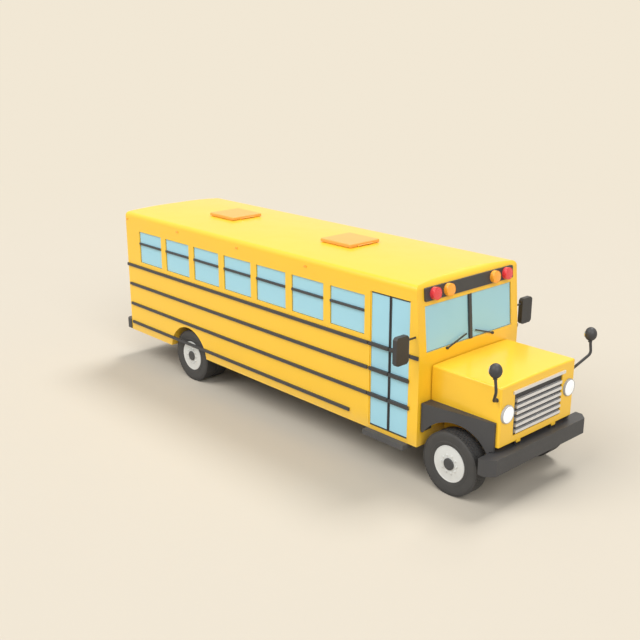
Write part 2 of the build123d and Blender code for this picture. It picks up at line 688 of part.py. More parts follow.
# Entrance door leaves and their panes
door_middle = (DOOR_REAR + DOOR_FRONT) / 2
for leaf_name, axis_x, away in leaf_axes:
    hinge_edge = axis_x - away * (DOOR_AXIS_PAST + DOOR_GAP)
    free_edge = door_middle + away * MEETING_GAP / 2
    low, high = sorted((hinge_edge, free_edge))
    pane_low, pane_high = sorted((hinge_edge - away * LEAF_EDGE, free_edge + away * MEETING_STILE))
    leaf_low = DOOR_LOW + DOOR_GAP
    leaf_high = DOOR_HIGH - DOOR_GAP
    leaf_outer = -HALF + LEAF_SET_IN
    pane_outer = leaf_outer + LEAF_THICK / 2 - GLASS
    with BuildPart() as door_leaf:
        block(low, high, leaf_outer, leaf_outer + LEAF_THICK, leaf_low, leaf_high)
        block(
            pane_low,
            pane_high,
            leaf_outer - 1,
            leaf_outer + LEAF_THICK + 1,
            leaf_low + LEAF_EDGE,
            leaf_high - LEAF_EDGE,
            mode=Mode.SUBTRACT,
        )
        for rail_name, z, rear_at, front_at in RAILS:
            if rail_name in DOOR_RAILS:
                bar_end = axis_x - away * (BARREL_RADIUS + BAR_CLEAR)
                bar_low, bar_high = sorted((free_edge, bar_end))
                block(bar_low, bar_high, -HALF - RAIL_PROUD, leaf_outer, z - RAIL_HIGH / 2, z + RAIL_HIGH / 2)
                block(pane_low, pane_high, leaf_outer, pane_outer - FIT, z - RAIL_HIGH / 2, z + RAIL_HIGH / 2)
            if rail_name in HINGED_RAILS:
                axis_plane = Plane(origin=(axis_x, door_axis_y, z), x_dir=(-away, 0, 0), z_dir=(0, 0, 1))
                hinge_barrel(axis_plane, RAIL_HIGH, BARREL_RADIUS + LEAF_TAB)
    save(door_leaf.part, f"door_leaf_{leaf_name}")
    with BuildPart() as door_glass:
        block(
            pane_low + FIT,
            pane_high - FIT,
            pane_outer,
            pane_outer + GLASS,
            leaf_low + LEAF_EDGE + FIT,
            leaf_high - LEAF_EDGE - FIT,
        )
    save(door_glass.part, f"door_glass_{leaf_name}")

# The windscreen's two halves: its outline carried through a raked sheet
with BuildPart() as screen_panes:
    with BuildSketch(Plane.YZ.offset(CAB_FRONT - 2 * CORNER_POST)):
        with Locations((0, (SCREEN_LOW + SCREEN_HIGH) / 2)):
            Rectangle(2 * (SCREEN_HALF - FIT), SCREEN_HIGH - SCREEN_LOW - 2 * FIT)
            Rectangle(SCREEN_BAR + 2 * FIT, SCREEN_HIGH - SCREEN_LOW, mode=Mode.SUBTRACT)
    extrude(amount=3 * CORNER_POST)
    with BuildSketch(Plane.XZ.offset(-HALF)):
        with BuildLine():
            Polyline(
                (coach_front(SCREEN_LOW) - GLASS_SET_IN, SCREEN_LOW),
                (coach_front(SCREEN_HIGH) - GLASS_SET_IN, SCREEN_HIGH),
                (coach_front(SCREEN_HIGH) - GLASS_SET_IN - GLASS, SCREEN_HIGH),
                (coach_front(SCREEN_LOW) - GLASS_SET_IN - GLASS, SCREEN_LOW),
                close=True,
            )
        make_face()
    extrude(amount=BODY_WIDTH, mode=Mode.INTERSECT)

# Fixed panes: side windows, driver's window, rear windows and the windscreen
with BuildPart() as window_glass:
    for side in (RIGHT, LEFT):
        with BuildSketch(side_plane(side, -GLASS_SET_IN)):
            places = WINDOWS + [fore(DRIVER_WINDOW_AT)] * (side == LEFT)
            with Locations(*[(x, WINDOW_MID_Z) for x in places]):
                Rectangle(WINDOW_WIDTH - 2 * FIT, WINDOW_TALL - 2 * FIT)
        extrude(amount=side * GLASS)
    with BuildSketch(Plane.YZ.offset(REAR + GLASS_SET_IN)):
        with Locations((-REAR_PANE_SIDE, WINDOW_MID_Z), (REAR_PANE_SIDE, WINDOW_MID_Z)):
            Rectangle(REAR_PANE_WIDTH - 2 * FIT, WINDOW_TALL - 2 * FIT)
    extrude(amount=GLASS)
    add(screen_panes.part)
save(window_glass.part, "window_glass")

# Sash bars over the side panes, and the windscreen's centre bar
with BuildPart() as window_bars:
    for side in (RIGHT, LEFT):
        with BuildSketch(side_plane(side, SASH_PROUD)):
            places = WINDOWS + [fore(DRIVER_WINDOW_AT)] * (side == LEFT)
            with Locations(*[(x, SASH_Z) for x in places]):
                Rectangle(WINDOW_WIDTH - 2 * FIT, SASH_HIGH)
        extrude(amount=side * (SASH_PROUD + GLASS_SET_IN - FIT))
    with BuildSketch(Plane.XZ.offset(-SCREEN_BAR / 2)):
        with BuildLine():
            Polyline(
                (coach_front(SCREEN_LOW) + SASH_PROUD, SCREEN_LOW + FIT),
                (coach_front(SCREEN_HIGH) + SASH_PROUD, SCREEN_HIGH - FIT),
                (coach_front(SCREEN_HIGH) - WALL, SCREEN_HIGH - FIT),
                (coach_front(SCREEN_LOW) - WALL, SCREEN_LOW + FIT),
                close=True,
            )
        make_face()
    extrude(amount=SCREEN_BAR)
save(window_bars.part, "window_bars")

# Warning lamp panels: front one on the raked face, rear one on the upright face
front_face = coach_front(PANEL_Z)
lamp_planes = [
    ("front", Plane(origin=(front_face, 0, PANEL_Z), x_dir=(0, 1, 0), z_dir=(1, 0, RAKE))),
    ("rear", Plane(origin=(REAR, 0, PANEL_Z), x_dir=(0, -1, 0), z_dir=(-1, 0, 0))),
]
with BuildPart() as warning_panels:
    for end_name, plane in lamp_planes:
        with BuildSketch(plane.offset(FIT)):
            RectangleRounded(2 * PANEL_HALF, PANEL_HIGH, PANEL_CORNER)
        extrude(amount=PANEL_THICK)
save(warning_panels.part, "warning_panels")


def lens(plane, radius, depth):
    """A round lamp standing on a plane."""
    with BuildSketch(plane) as face:
        Circle(radius)
    extrude(face.sketch, amount=depth)


def lamp_plane(plane, across):
    return Plane(origin=plane.from_local_coords((across, 0, PANEL_THICK + 2 * FIT)), x_dir=plane.x_dir, z_dir=plane.z_dir)


def rear_lamp(y, z):
    """A rectangular lamp on the rear wall, its middle at a place on the wall."""
    block(
        REAR - FIT - REAR_LAMP_THICK,
        REAR - FIT,
        y - REAR_LAMP_WIDE / 2,
        y + REAR_LAMP_WIDE / 2,
        z - REAR_LAMP_HIGH / 2,
        z + REAR_LAMP_HIGH / 2,
    )


with BuildPart() as red_lamps:
    for end_name, plane in lamp_planes:
        for across in (-RED_LAMP_SIDE, RED_LAMP_SIDE):
            lens(lamp_plane(plane, across), LAMP_RADIUS, LAMP_DEEP)
    for side in (RIGHT, LEFT):
        rear_lamp(side * REAR_LAMP_SIDE, STOP_LAMP_Z)
save(red_lamps.part, "red_lamps")

# Amber lamps, with the turn signals at the rear and the marker lamps along the roof's sides
with BuildPart() as amber_lamps:
    for end_name, plane in lamp_planes:
        for across in (-AMBER_LAMP_SIDE, AMBER_LAMP_SIDE):
            lens(lamp_plane(plane, across), LAMP_RADIUS, LAMP_DEEP)
    for side in (RIGHT, LEFT):
        rear_lamp(side * REAR_LAMP_SIDE, TURN_LAMP_Z)
        y_low, y_high = sorted((side * (HALF + FIT), side * (HALF + FIT + MARKER_THICK)))
        for at in MARKERS_AT:
            block(
                fore(at) - MARKER_LONG / 2,
                fore(at) + MARKER_LONG / 2,
                y_low,
                y_high,
                MARKER_Z - MARKER_HIGH / 2,
                MARKER_Z + MARKER_HIGH / 2,
            )
save(amber_lamps.part, "amber_lamps")

# Ladder frame: two channel rails and their crossmembers
frame_front = fore(BUMPER_FRONT_AT - BUMPER_DEEP) - FIT
with BuildPart() as chassis_frame:
    for side in (RIGHT, LEFT):
        with BuildSketch(Plane.YZ.offset(fore(FRAME_REAR_AT))):
            with BuildLine():
                outer = side * FRAME_SIDE
                inner = side * (FRAME_SIDE - FRAME_FLANGE)
                web = side * (FRAME_SIDE - FRAME_WEB)
                Polyline(
                    (inner, FRAME_LOW),
                    (outer, FRAME_LOW),
                    (outer, FRAME_HIGH),
                    (inner, FRAME_HIGH),
                    (inner, FRAME_HIGH - FRAME_WEB),
                    (web, FRAME_HIGH - FRAME_WEB),
                    (web, FRAME_LOW + FRAME_WEB),
                    (inner, FRAME_LOW + FRAME_WEB),
                    close=True,
                )
            make_face()
        extrude(amount=frame_front - fore(FRAME_REAR_AT))
    for at in CROSSMEMBERS_AT:
        block(
            fore(at) - CROSS_WIDE / 2,
            fore(at) + CROSS_WIDE / 2,
            -FRAME_SIDE + FRAME_WEB + FIT,
            FRAME_SIDE - FRAME_WEB - FIT,
            FRAME_LOW + FRAME_WEB + FIT,
            FRAME_HIGH - FRAME_WEB - FIT,
        )
save(chassis_frame.part, "chassis_frame")

# Front bumper with its swept ends and the hood's hinge lugs
hood_axis_x = HOOD_FRONT - HOOD_PIVOT_BACK
with BuildPart() as front_bumper:
    with BuildSketch(Plane.XY.offset(BUMPER_LOW)) as bumper_plan:
        with Locations((fore(BUMPER_FRONT_AT) - BUMPER_DEEP / 2, 0)):
            Rectangle(BUMPER_DEEP, 2 * BUMPER_HALF)
        chamfer(bumper_plan.vertices().group_by(Axis.X)[-1], BUMPER_CHAMFER)
    extrude(amount=BUMPER_HIGH - BUMPER_LOW)
    for y in (-HOOD_HINGE_SIDE, HOOD_HINGE_SIDE):
        hinge_lugs(
            Plane(origin=(hood_axis_x, y, HOOD_PIVOT_Z), x_dir=(0, 0, -1), z_dir=(0, 1, 0)),
            HOOD_HINGE_LONG,
            HOOD_PIVOT_Z - BUMPER_HIGH + WALL,
            HOOD_PIN_RADIUS,
            HOOD_BARREL_RADIUS,
        )
    with BuildSketch(Plane.YZ.offset(fore(BUMPER_FRONT_AT) - PLATE_HOLE_DEEP)):
        with Locations((0, (BUMPER_LOW + BUMPER_HIGH) / 2)):
            with GridLocations(PLATE_HOLE_ACROSS, PLATE_HOLE_UP, 2, 2):
                Circle(PLATE_HOLE_RADIUS)
    extrude(amount=PLATE_HOLE_DEEP, mode=Mode.SUBTRACT)
save(front_bumper.part, "front_bumper")

# Rear bumper against the rear wall
with BuildPart() as rear_bumper:
    with BuildSketch(Plane.XY.offset(REAR_BUMPER_LOW)) as bumper_plan:
        with Locations((REAR - FIT - (TAIL - FIT) / 2, 0)):
            Rectangle(TAIL - FIT, 2 * REAR_BUMPER_HALF)
        chamfer(bumper_plan.vertices().group_by(Axis.X)[0], REAR_BUMPER_CHAMFER)
    extrude(amount=REAR_BUMPER_HIGH - REAR_BUMPER_LOW)
save(rear_bumper.part, "rear_bumper")

# Front axle beam, with an eye at each end for its kingpin
with BuildPart() as front_axle:
    beam_low = AXLE_TOP_Z - AXLE_HIGH
    beam_half = KINGPIN_SIDE - KNUCKLE_RADIUS / 2
    with BuildSketch(Plane.XZ.offset(-beam_half)):
        with Locations((FRONT_AXLE, (AXLE_TOP_Z + beam_low) / 2)):
            Rectangle(AXLE_WIDE, AXLE_HIGH)
            for x in (-AXLE_WIDE / 2, AXLE_WIDE / 2):
                with Locations((x, 0)):
                    Rectangle(AXLE_WIDE - AXLE_WEB, AXLE_HIGH - 2 * AXLE_FLANGE, mode=Mode.SUBTRACT)
    extrude(amount=2 * beam_half)
    with BuildSketch(Plane.XY.offset(beam_low)):
        with Locations((FRONT_AXLE, -KINGPIN_SIDE), (FRONT_AXLE, KINGPIN_SIDE)):
            Circle(KNUCKLE_RADIUS)
    extrude(amount=AXLE_HIGH)
    with BuildSketch(Plane.XY.offset(beam_low)):
        with Locations((FRONT_AXLE, -KINGPIN_SIDE), (FRONT_AXLE, KINGPIN_SIDE)):
            Circle(KINGPIN_RADIUS + RUN)
    extrude(amount=AXLE_HIGH, mode=Mode.SUBTRACT)
save(front_axle.part, "front_axle")


def across_plane(x, y, z):
    """Plane through the wheels' axis whose X runs along the axle."""
    return Plane(origin=(x, y, z), x_dir=(0, 1, 0), z_dir=(1, 0, 0))


def rings(axle_x, side, table):
    """Rings round an axle; distances are measured in from the tyres' outer faces."""
    with BuildSketch(across_plane(axle_x, side * TYRE_SIDE, TYRE_RADIUS)) as half:
        for ring_name, outer, inner, low, high in table:
            with Locations((-side * (outer + inner) / 2, (low + high) / 2)):
                Rectangle(inner - outer, high - low)
    revolve(half.sketch, axis=Axis((axle_x, 0, TYRE_RADIUS), (0, 1, 0)))


# Rear axle: differential housing, tubes and the spindles in the hubs
hub_rear_in = TYRE_SIDE - 2 * REAR_TYRE_WIDTH - DUAL_GAP + REAR_HUB_PAST
with BuildPart() as rear_axle:
    with BuildSketch(across_plane(REAR_AXLE, 0, TYRE_RADIUS)):
        with BuildLine():
            spindle_end = TYRE_SIDE - DISC_SET_IN - RIM_THICK - 1
            Polyline(
                (-spindle_end, 0),
                (-spindle_end, SPINDLE_RADIUS),
                (-hub_rear_in + 1, SPINDLE_RADIUS),
                (-hub_rear_in + 1, AXLE_TUBE_RADIUS),
                (-BANJO_HALF, AXLE_TUBE_RADIUS),
                (-BANJO_FLAT, BANJO_RADIUS),
                (BANJO_FLAT, BANJO_RADIUS),
                (BANJO_HALF, AXLE_TUBE_RADIUS),
                (hub_rear_in - 1, AXLE_TUBE_RADIUS),
                (hub_rear_in - 1, SPINDLE_RADIUS),
                (spindle_end, SPINDLE_RADIUS),
                (spindle_end, 0),
                close=True,
            )
        make_face()
    revolve(axis=Axis((REAR_AXLE, 0, TYRE_RADIUS), (0, 1, 0)))
save(rear_axle.part, "rear_axle")

# Leaf springs over both axles, hung from the frame rails by their eyes
with BuildPart() as leaf_springs:
    spring_low = AXLE_TOP_Z + FIT
    eye_z = FRAME_LOW - FIT - SPRING_EYE_RADIUS
    leaf_rise = eye_z - spring_low
    for axle_x in (FRONT_AXLE, REAR_AXLE):
        for side in (RIGHT, LEFT):
            spring_outer = side * (FRAME_SIDE - FRAME_FLANGE / 2) + SPRING_WIDE / 2
            with BuildSketch(Plane.XZ.offset(-spring_outer)):
                with BuildLine():
                    ThreePointArc(
                        (axle_x - SPRING_HALF, eye_z - SPRING_THICK / 3),
                        (axle_x, spring_low),
                        (axle_x + SPRING_HALF, eye_z - SPRING_THICK / 3),
                    )
                    Line((axle_x + SPRING_HALF, eye_z - SPRING_THICK / 3), (axle_x + SPRING_HALF, eye_z))
                    ThreePointArc(
                        (axle_x + SPRING_HALF, eye_z),
                        (axle_x, spring_low + SPRING_THICK),
                        (axle_x - SPRING_HALF, eye_z),
                    )
                    Line((axle_x - SPRING_HALF, eye_z), (axle_x - SPRING_HALF, eye_z - SPRING_THICK / 3))
                make_face()
                with Locations((axle_x - SPRING_HALF, eye_z), (axle_x + SPRING_HALF, eye_z)):
                    Circle(SPRING_EYE_RADIUS)
            extrude(amount=SPRING_WIDE)
save(leaf_springs.part, "leaf_springs")

# Steering knuckles: yoke round the axle's eye, kingpin, spindle and steering arm
steer_arm_z = AXLE_TOP_Z - AXLE_HIGH - FIT - EAR_THICK
for side_name, side in SIDES:
    with BuildPart() as knuckle:
        web_inner = side * (KINGPIN_SIDE + KNUCKLE_RADIUS + YOKE_GAP)
        web_outer = side * (TYRE_SIDE - HUB_BACK - 1)
        for z_low in (steer_arm_z, AXLE_TOP_Z + FIT):
            with BuildSketch(Plane.XY.offset(z_low)):
                with Locations((FRONT_AXLE, side * KINGPIN_SIDE)):
                    Circle(KNUCKLE_RADIUS)
                with Locations((FRONT_AXLE, (side * KINGPIN_SIDE + web_outer) / 2)):
                    Rectangle(2 * KNUCKLE_RADIUS, abs(web_outer - side * KINGPIN_SIDE))
            extrude(amount=EAR_THICK)
        y_low, y_high = sorted((web_inner, web_outer))
        block(
            FRONT_AXLE - KNUCKLE_RADIUS,
            FRONT_AXLE + KNUCKLE_RADIUS,
            y_low,
            y_high,
            steer_arm_z,
            AXLE_TOP_Z + FIT + EAR_THICK,
        )
        with BuildSketch(Plane.XY.offset(steer_arm_z)):
            with Locations((FRONT_AXLE, side * KINGPIN_SIDE)):
                Circle(KINGPIN_RADIUS)
        extrude(amount=AXLE_HIGH + 2 * EAR_THICK)
        with BuildSketch(Plane.XY.offset(steer_arm_z)):
            with Locations((FRONT_AXLE - STEER_ARM / 2, side * KINGPIN_SIDE)):
                Rectangle(STEER_ARM, ARM_WIDE)
            with Locations((FRONT_AXLE - STEER_ARM, side * KINGPIN_SIDE)):
                Circle(ARM_WIDE / 2)
                Circle(TIE_PIN_RADIUS + (RUN if side == RIGHT else LOOSE), mode=Mode.SUBTRACT)
        extrude(amount=EAR_THICK)
        with BuildSketch(Plane.XZ.offset(-web_outer)):
            with Locations((FRONT_AXLE, TYRE_RADIUS)):
                Circle(SPINDLE_RADIUS)
        extrude(amount=-side * (HUB_BACK - DISC_SET_IN - RIM_THICK))
    save(knuckle.part, f"knuckle_{side_name}")

# Tie rod between the steering arms
with BuildPart() as tie_rod:
    rod_z = steer_arm_z - FIT - TIE_ROD_RADIUS
    rod_x = FRONT_AXLE - STEER_ARM
    with BuildSketch(Plane.XZ.offset(-KINGPIN_SIDE)):
        with Locations((rod_x, rod_z)):
            Circle(TIE_ROD_RADIUS)
    extrude(amount=2 * KINGPIN_SIDE)
    for side in (RIGHT, LEFT):
        with BuildSketch(Plane.XY.offset(rod_z - TIE_ROD_RADIUS)):
            with Locations((rod_x, side * KINGPIN_SIDE)):
                Circle(TIE_EYE_RADIUS)
        extrude(amount=2 * TIE_ROD_RADIUS)
        with BuildSketch(Plane.XY.offset(rod_z)):
            with Locations((rod_x, side * KINGPIN_SIDE)):
                Circle(TIE_PIN_RADIUS)
        extrude(amount=TIE_ROD_RADIUS + EAR_THICK)
save(tie_rod.part, "tie_rod")


def tyre(axle_x, side, outer, width):
    """One tyre, its outer face a distance in from the tyres' outer faces."""
    middle = side * (TYRE_SIDE - outer - width / 2)
    with BuildSketch(across_plane(axle_x, middle, TYRE_RADIUS)) as half:
        with Locations((0, (TYRE_RADIUS + RIM_RADIUS) / 2)):
            Rectangle(width, TYRE_RADIUS - RIM_RADIUS)
    revolve(half.sketch, axis=Axis((axle_x, 0, TYRE_RADIUS), (0, 1, 0)))


rim = RIM_RADIUS - FIT
bore = SPINDLE_RADIUS + RUN
disc_in = DISC_SET_IN + RIM_THICK
dual = REAR_TYRE_WIDTH + DUAL_GAP
# ring, outer face, inner face, inner radius, outer radius
FRONT_WHEEL = [
    ("barrel", DISC_SET_IN, FRONT_TYRE_WIDTH - BARREL_SHORT, rim - RIM_THICK, rim),
    ("disc", DISC_SET_IN, disc_in, 0, rim),
    ("hub", disc_in - 1, HUB_BACK, bore, HUB_RADIUS),
    ("cap", -HUB_CAP_PROUD, DISC_SET_IN + 1, 0, HUB_CAP_RADIUS),
]
# The twin tyres' rims are joined by the spacer band between them
REAR_WHEEL = [
    ("barrels", DISC_SET_IN, dual + REAR_TYRE_WIDTH - BARREL_SHORT, rim - RIM_THICK, rim),
    ("disc", DISC_SET_IN, disc_in, 0, rim),
    ("hub", disc_in - 1, TYRE_SIDE - hub_rear_in, bore, HUB_RADIUS),
    ("cap", -HUB_CAP_PROUD, DISC_SET_IN + 1, 0, HUB_CAP_RADIUS),
]

# Tyres and wheels
for side_name, side in SIDES:
    with BuildPart() as front_tyre:
        tyre(FRONT_AXLE, side, 0, FRONT_TYRE_WIDTH)
    save(front_tyre.part, f"front_tyre_{side_name}")
    with BuildPart() as front_wheel:
        rings(FRONT_AXLE, side, FRONT_WHEEL)
    save(front_wheel.part, f"front_wheel_{side_name}")
    with BuildPart() as rear_tyres:
        tyre(REAR_AXLE, side, 0, REAR_TYRE_WIDTH)
        tyre(REAR_AXLE, side, dual, REAR_TYRE_WIDTH)
    save(rear_tyres.part, f"rear_tyres_{side_name}")
    with BuildPart() as rear_wheel:
        rings(REAR_AXLE, side, REAR_WHEEL)
    save(rear_wheel.part, f"rear_wheel_{side_name}")

# Engine, one plain block on its side mounts
with BuildPart() as engine_block:
    block(fore(ENGINE_REAR_AT), fore(ENGINE_FRONT_AT), -ENGINE_HALF, ENGINE_HALF, ENGINE_LOW, ENGINE_HIGH)
    mount_reach = FRAME_SIDE - FRAME_WEB - FIT
    mount_rear = fore(FRONT_AXLE_AT) - ENGINE_MOUNT_LONG / 2
    mount_low = (FRAME_LOW + FRAME_HIGH - ENGINE_MOUNT_HIGH) / 2
    block(
        mount_rear,
        mount_rear + ENGINE_MOUNT_LONG,
        -mount_reach,
        mount_reach,
        mount_low,
        mount_low + ENGINE_MOUNT_HIGH,
    )
save(engine_block.part, "engine_block")

# Fuel tank on the right frame rail
with BuildPart() as fuel_tank:
    block(fore(TANK_REAR_AT), fore(TANK_FRONT_AT), -TANK_SIDE, -FRAME_SIDE - FIT, TANK_LOW, TANK_HIGH)
    fillet(fuel_tank.edges().filter_by(Axis.X), TANK_CORNER)
save(fuel_tank.part, "fuel_tank")

# Exhaust: silencer and pipe on the left, hung from the floor
with BuildPart() as exhaust:
    with BuildLine():
        Polyline(
            (fore(PIPE_FRONT_AT), PIPE_SIDE, PIPE_Z),
            (fore(PIPE_DROP_AT), PIPE_SIDE, PIPE_Z),
            (fore(PIPE_END_AT), PIPE_SIDE, PIPE_END_Z),
        )
    with BuildSketch(Plane.YZ.offset(fore(PIPE_FRONT_AT))):
        with Locations((PIPE_SIDE, PIPE_Z)):
            Circle(PIPE_RADIUS)
    sweep(transition=Transition.RIGHT)
    with BuildSketch(Plane.YZ.offset(fore(SILENCER_REAR_AT))):
        with Locations((SILENCER_SIDE, PIPE_Z)):
            Circle(SILENCER_RADIUS)
    extrude(amount=SILENCER_LONG)
    for at in HANGERS_AT:
        block(
            fore(at) - HANGER_HALF,
            fore(at) + HANGER_HALF,
            PIPE_SIDE - HANGER_HALF,
            PIPE_SIDE + HANGER_HALF,
            PIPE_Z,
            FLOOR_UNDER - FIT,
        )
save(exhaust.part, "exhaust")

# Passenger seats: benches on both sides of the aisle
with BuildPart() as passenger_seats:
    for row in range(SEAT_ROWS):
        front = fore(SEAT_FIRST + row * SEAT_PITCH) + SEAT_DEEP
        rear = front - SEAT_DEEP
        for side in (RIGHT, LEFT):
            y_start = side * SEAT_AISLE if side == LEFT else side * (SEAT_AISLE + SEAT_WIDE)
            with BuildSketch(Plane.XZ.offset(-y_start - SEAT_WIDE)) as bench:
                with BuildLine():
                    Polyline(
                        (front, FLOOR_Z + SEAT_HIGH),
                        (rear + SEAT_BACK, FLOOR_Z + SEAT_HIGH),
                        (rear + SEAT_BACK - SEAT_LEAN, FLOOR_Z + SEAT_BACK_HIGH),
                        (rear - SEAT_LEAN, FLOOR_Z + SEAT_BACK_HIGH),
                        (rear, FLOOR_Z + SEAT_HIGH - SEAT_CUSHION),
                        (front, FLOOR_Z + SEAT_HIGH - SEAT_CUSHION),
                        close=True,
                    )
                make_face()
            extrude(amount=SEAT_WIDE)
            leg_top = FLOOR_Z + SEAT_HIGH - SEAT_CUSHION + 1
            for y in (y_start + LEG_SET_IN, y_start + SEAT_WIDE - LEG_SET_IN - LEG_WIDE):
                block(rear + LEG_SET_IN, front - LEG_SET_IN, y, y + LEG_WIDE, FLOOR_Z + FIT, leg_top)
save(passenger_seats.part, "passenger_seats")

# Driver's seat on its pedestal
with BuildPart() as driver_seat:
    seat_top = FLOOR_Z + SEAT_HIGH
    seat_under = seat_top - SEAT_CUSHION
    back_top = FLOOR_Z + DRIVER_BACK_HIGH
    cushion_front = fore(DRIVER_AT) + DRIVER_CUSHION / 2
    cushion_rear = fore(DRIVER_AT) - DRIVER_CUSHION / 2
    with BuildSketch(Plane.XZ.offset(-DRIVER_SIDE - DRIVER_WIDE / 2)):
        with BuildLine():
            Polyline(
                (cushion_front, seat_top),
                (cushion_rear + SEAT_BACK, seat_top),
                (cushion_rear + SEAT_BACK - DRIVER_LEAN, back_top),
                (cushion_rear - DRIVER_LEAN, back_top),
                (cushion_rear, seat_under),
                (cushion_front, seat_under),
                close=True,
            )
        make_face()
    extrude(amount=DRIVER_WIDE)
    block(
        fore(DRIVER_AT) - PEDESTAL_HALF,
        fore(DRIVER_AT) + PEDESTAL_HALF,
        DRIVER_SIDE - PEDESTAL_HALF,
        DRIVER_SIDE + PEDESTAL_HALF,
        FLOOR_Z + FIT,
        seat_under + 1,
    )
save(driver_seat.part, "driver_seat")

# Dashboard across the cab, with the steering column and wheel
with BuildPart() as dashboard:
    dash_front = CAB_FRONT - WALL - FIT
    with BuildSketch(Plane.XZ.offset(-INSIDE + DASH_SIDE)):
        with BuildLine():
            Polyline(
                (dash_front, FLOOR_Z + DASH_LOW),
                (dash_front - DASH_FOOT_DEEP, FLOOR_Z + DASH_LOW),
                (dash_front - DASH_NOSE_LOW_DEEP, FLOOR_Z + DASH_NOSE_LOW),
                (dash_front - DASH_NOSE_DEEP, FLOOR_Z + DASH_NOSE_HIGH),
                (dash_front, RAKE_Z - DASH_TOP_UNDER),
                close=True,
            )
        make_face()
    extrude(amount=DASH_LONG)
    column_top = (dash_front - COLUMN_BACK, DRIVER_SIDE, FLOOR_Z + COLUMN_HIGH)
    column = Plane(origin=column_top, x_dir=(0, 1, 0), z_dir=COLUMN_TILT)
    with BuildSketch(column.offset(-COLUMN_START)):
        Circle(COLUMN_RADIUS)
    extrude(amount=COLUMN_LONG)
    with BuildSketch(column.offset(-WHEEL_BOSS_AT)):
        Circle(WHEEL_BOSS_RADIUS)
        for angle in SPOKE_ANGLES:
            Rectangle(WHEEL_RING_RADIUS, SPOKE_WIDE, align=(Align.MIN, Align.CENTER), rotation=angle)
    extrude(amount=WHEEL_BOSS_THICK)
    ring = column.offset(WHEEL_BOSS_THICK / 2 - WHEEL_BOSS_AT)
    with BuildSketch(Plane(origin=ring.origin, x_dir=ring.x_dir, z_dir=ring.y_dir)):
        with Locations((WHEEL_RING_RADIUS, 0)):
            RegularPolygon(WHEEL_RING_TUBE, 6)
    revolve(axis=Axis(ring.origin, ring.z_dir))
save(dashboard.part, "dashboard")

# Side mirrors on arms from the cab's corner posts
with BuildPart() as side_mirrors:
    for side in (RIGHT, LEFT):
        with BuildSketch(Plane.YZ.offset(fore(MIRROR_AT) - MIRROR_THICK / 2)) as head:
            with Locations((side * MIRROR_SIDE, MIRROR_Z)):
                Rectangle(MIRROR_WIDE, MIRROR_HIGH)
            chamfer(head.vertices(), MIRROR_CORNER)
        extrude(amount=MIRROR_THICK)
        y_low, y_high = sorted((side * (HALF + FIT), side * (MIRROR_SIDE - MIRROR_WIDE / 4)))
        with BuildSketch(Plane.XZ.offset(-y_high)):
            with Locations((fore(MIRROR_AT), MIRROR_ARM_Z)):
                Circle(MIRROR_ARM_RADIUS)
        extrude(amount=y_high - y_low)
save(side_mirrors.part, "side_mirrors")

# Wipers at the foot of the windscreen
with BuildPart() as wipers:
    pivot_z = SCREEN_LOW - WIPER_DROP
    face = Plane(origin=(coach_front(pivot_z), 0, pivot_z), x_dir=(0, 1, 0), z_dir=(1, 0, RAKE))
    for wiper_name, pivot_y, tip_y, tip_z in WIPERS:
        length = hypot(tip_y - pivot_y, tip_z - pivot_z)
        lean = degrees(atan2(tip_z - pivot_z, tip_y - pivot_y))
        with BuildSketch(face.offset(FIT)):
            with Locations((pivot_y, 0)):
                Circle(WIPER_WIDE)
        extrude(amount=WIPER_OUT + WIPER_THICK)
        with BuildSketch(face.offset(WIPER_OUT)):
            with Locations(((pivot_y + tip_y) / 2, (tip_z - pivot_z) / 2)):
                Rectangle(length, WIPER_WIDE, rotation=lean)
        extrude(amount=WIPER_THICK)
save(wipers.part, "wipers")

# Roof hatch lids: a plate with a skirt over the curb, hinged at the front
for hatch_name, middle in HATCHES:
    with BuildPart() as hatch_lid:
        with BuildSketch(Plane.XY.offset(HATCH_SKIRT_Z)):
            with Locations((fore(middle), 0)):
                Rectangle(HATCH_LONG, HATCH_WIDE)
        extrude(amount=HATCH_TOP_Z - HATCH_SKIRT_Z)
        chamfer(hatch_lid.faces().sort_by(Axis.Z)[-1].edges(), HATCH_CHAMFER)
        with BuildSketch(Plane.XY.offset(HATCH_SKIRT_Z)):
            with Locations((fore(middle), 0)):
                Rectangle(HATCH_LONG - 2 * HATCH_SKIRT, HATCH_WIDE - 2 * HATCH_SKIRT)
        extrude(amount=HATCH_TOP_Z - HATCH_PLATE - HATCH_SKIRT_Z, mode=Mode.SUBTRACT)
        axis_x = fore(middle) + HATCH_LONG / 2 + HATCH_AXIS_AHEAD
        axis_plane = Plane(origin=(axis_x, 0, HATCH_AXIS_Z), x_dir=(-1, 0, 0), z_dir=(0, 1, 0))
        hinge_barrel(axis_plane, HATCH_HINGE, HATCH_AXIS_AHEAD + HATCH_SKIRT / 2)
    save(hatch_lid.part, f"hatch_lid_{hatch_name}")

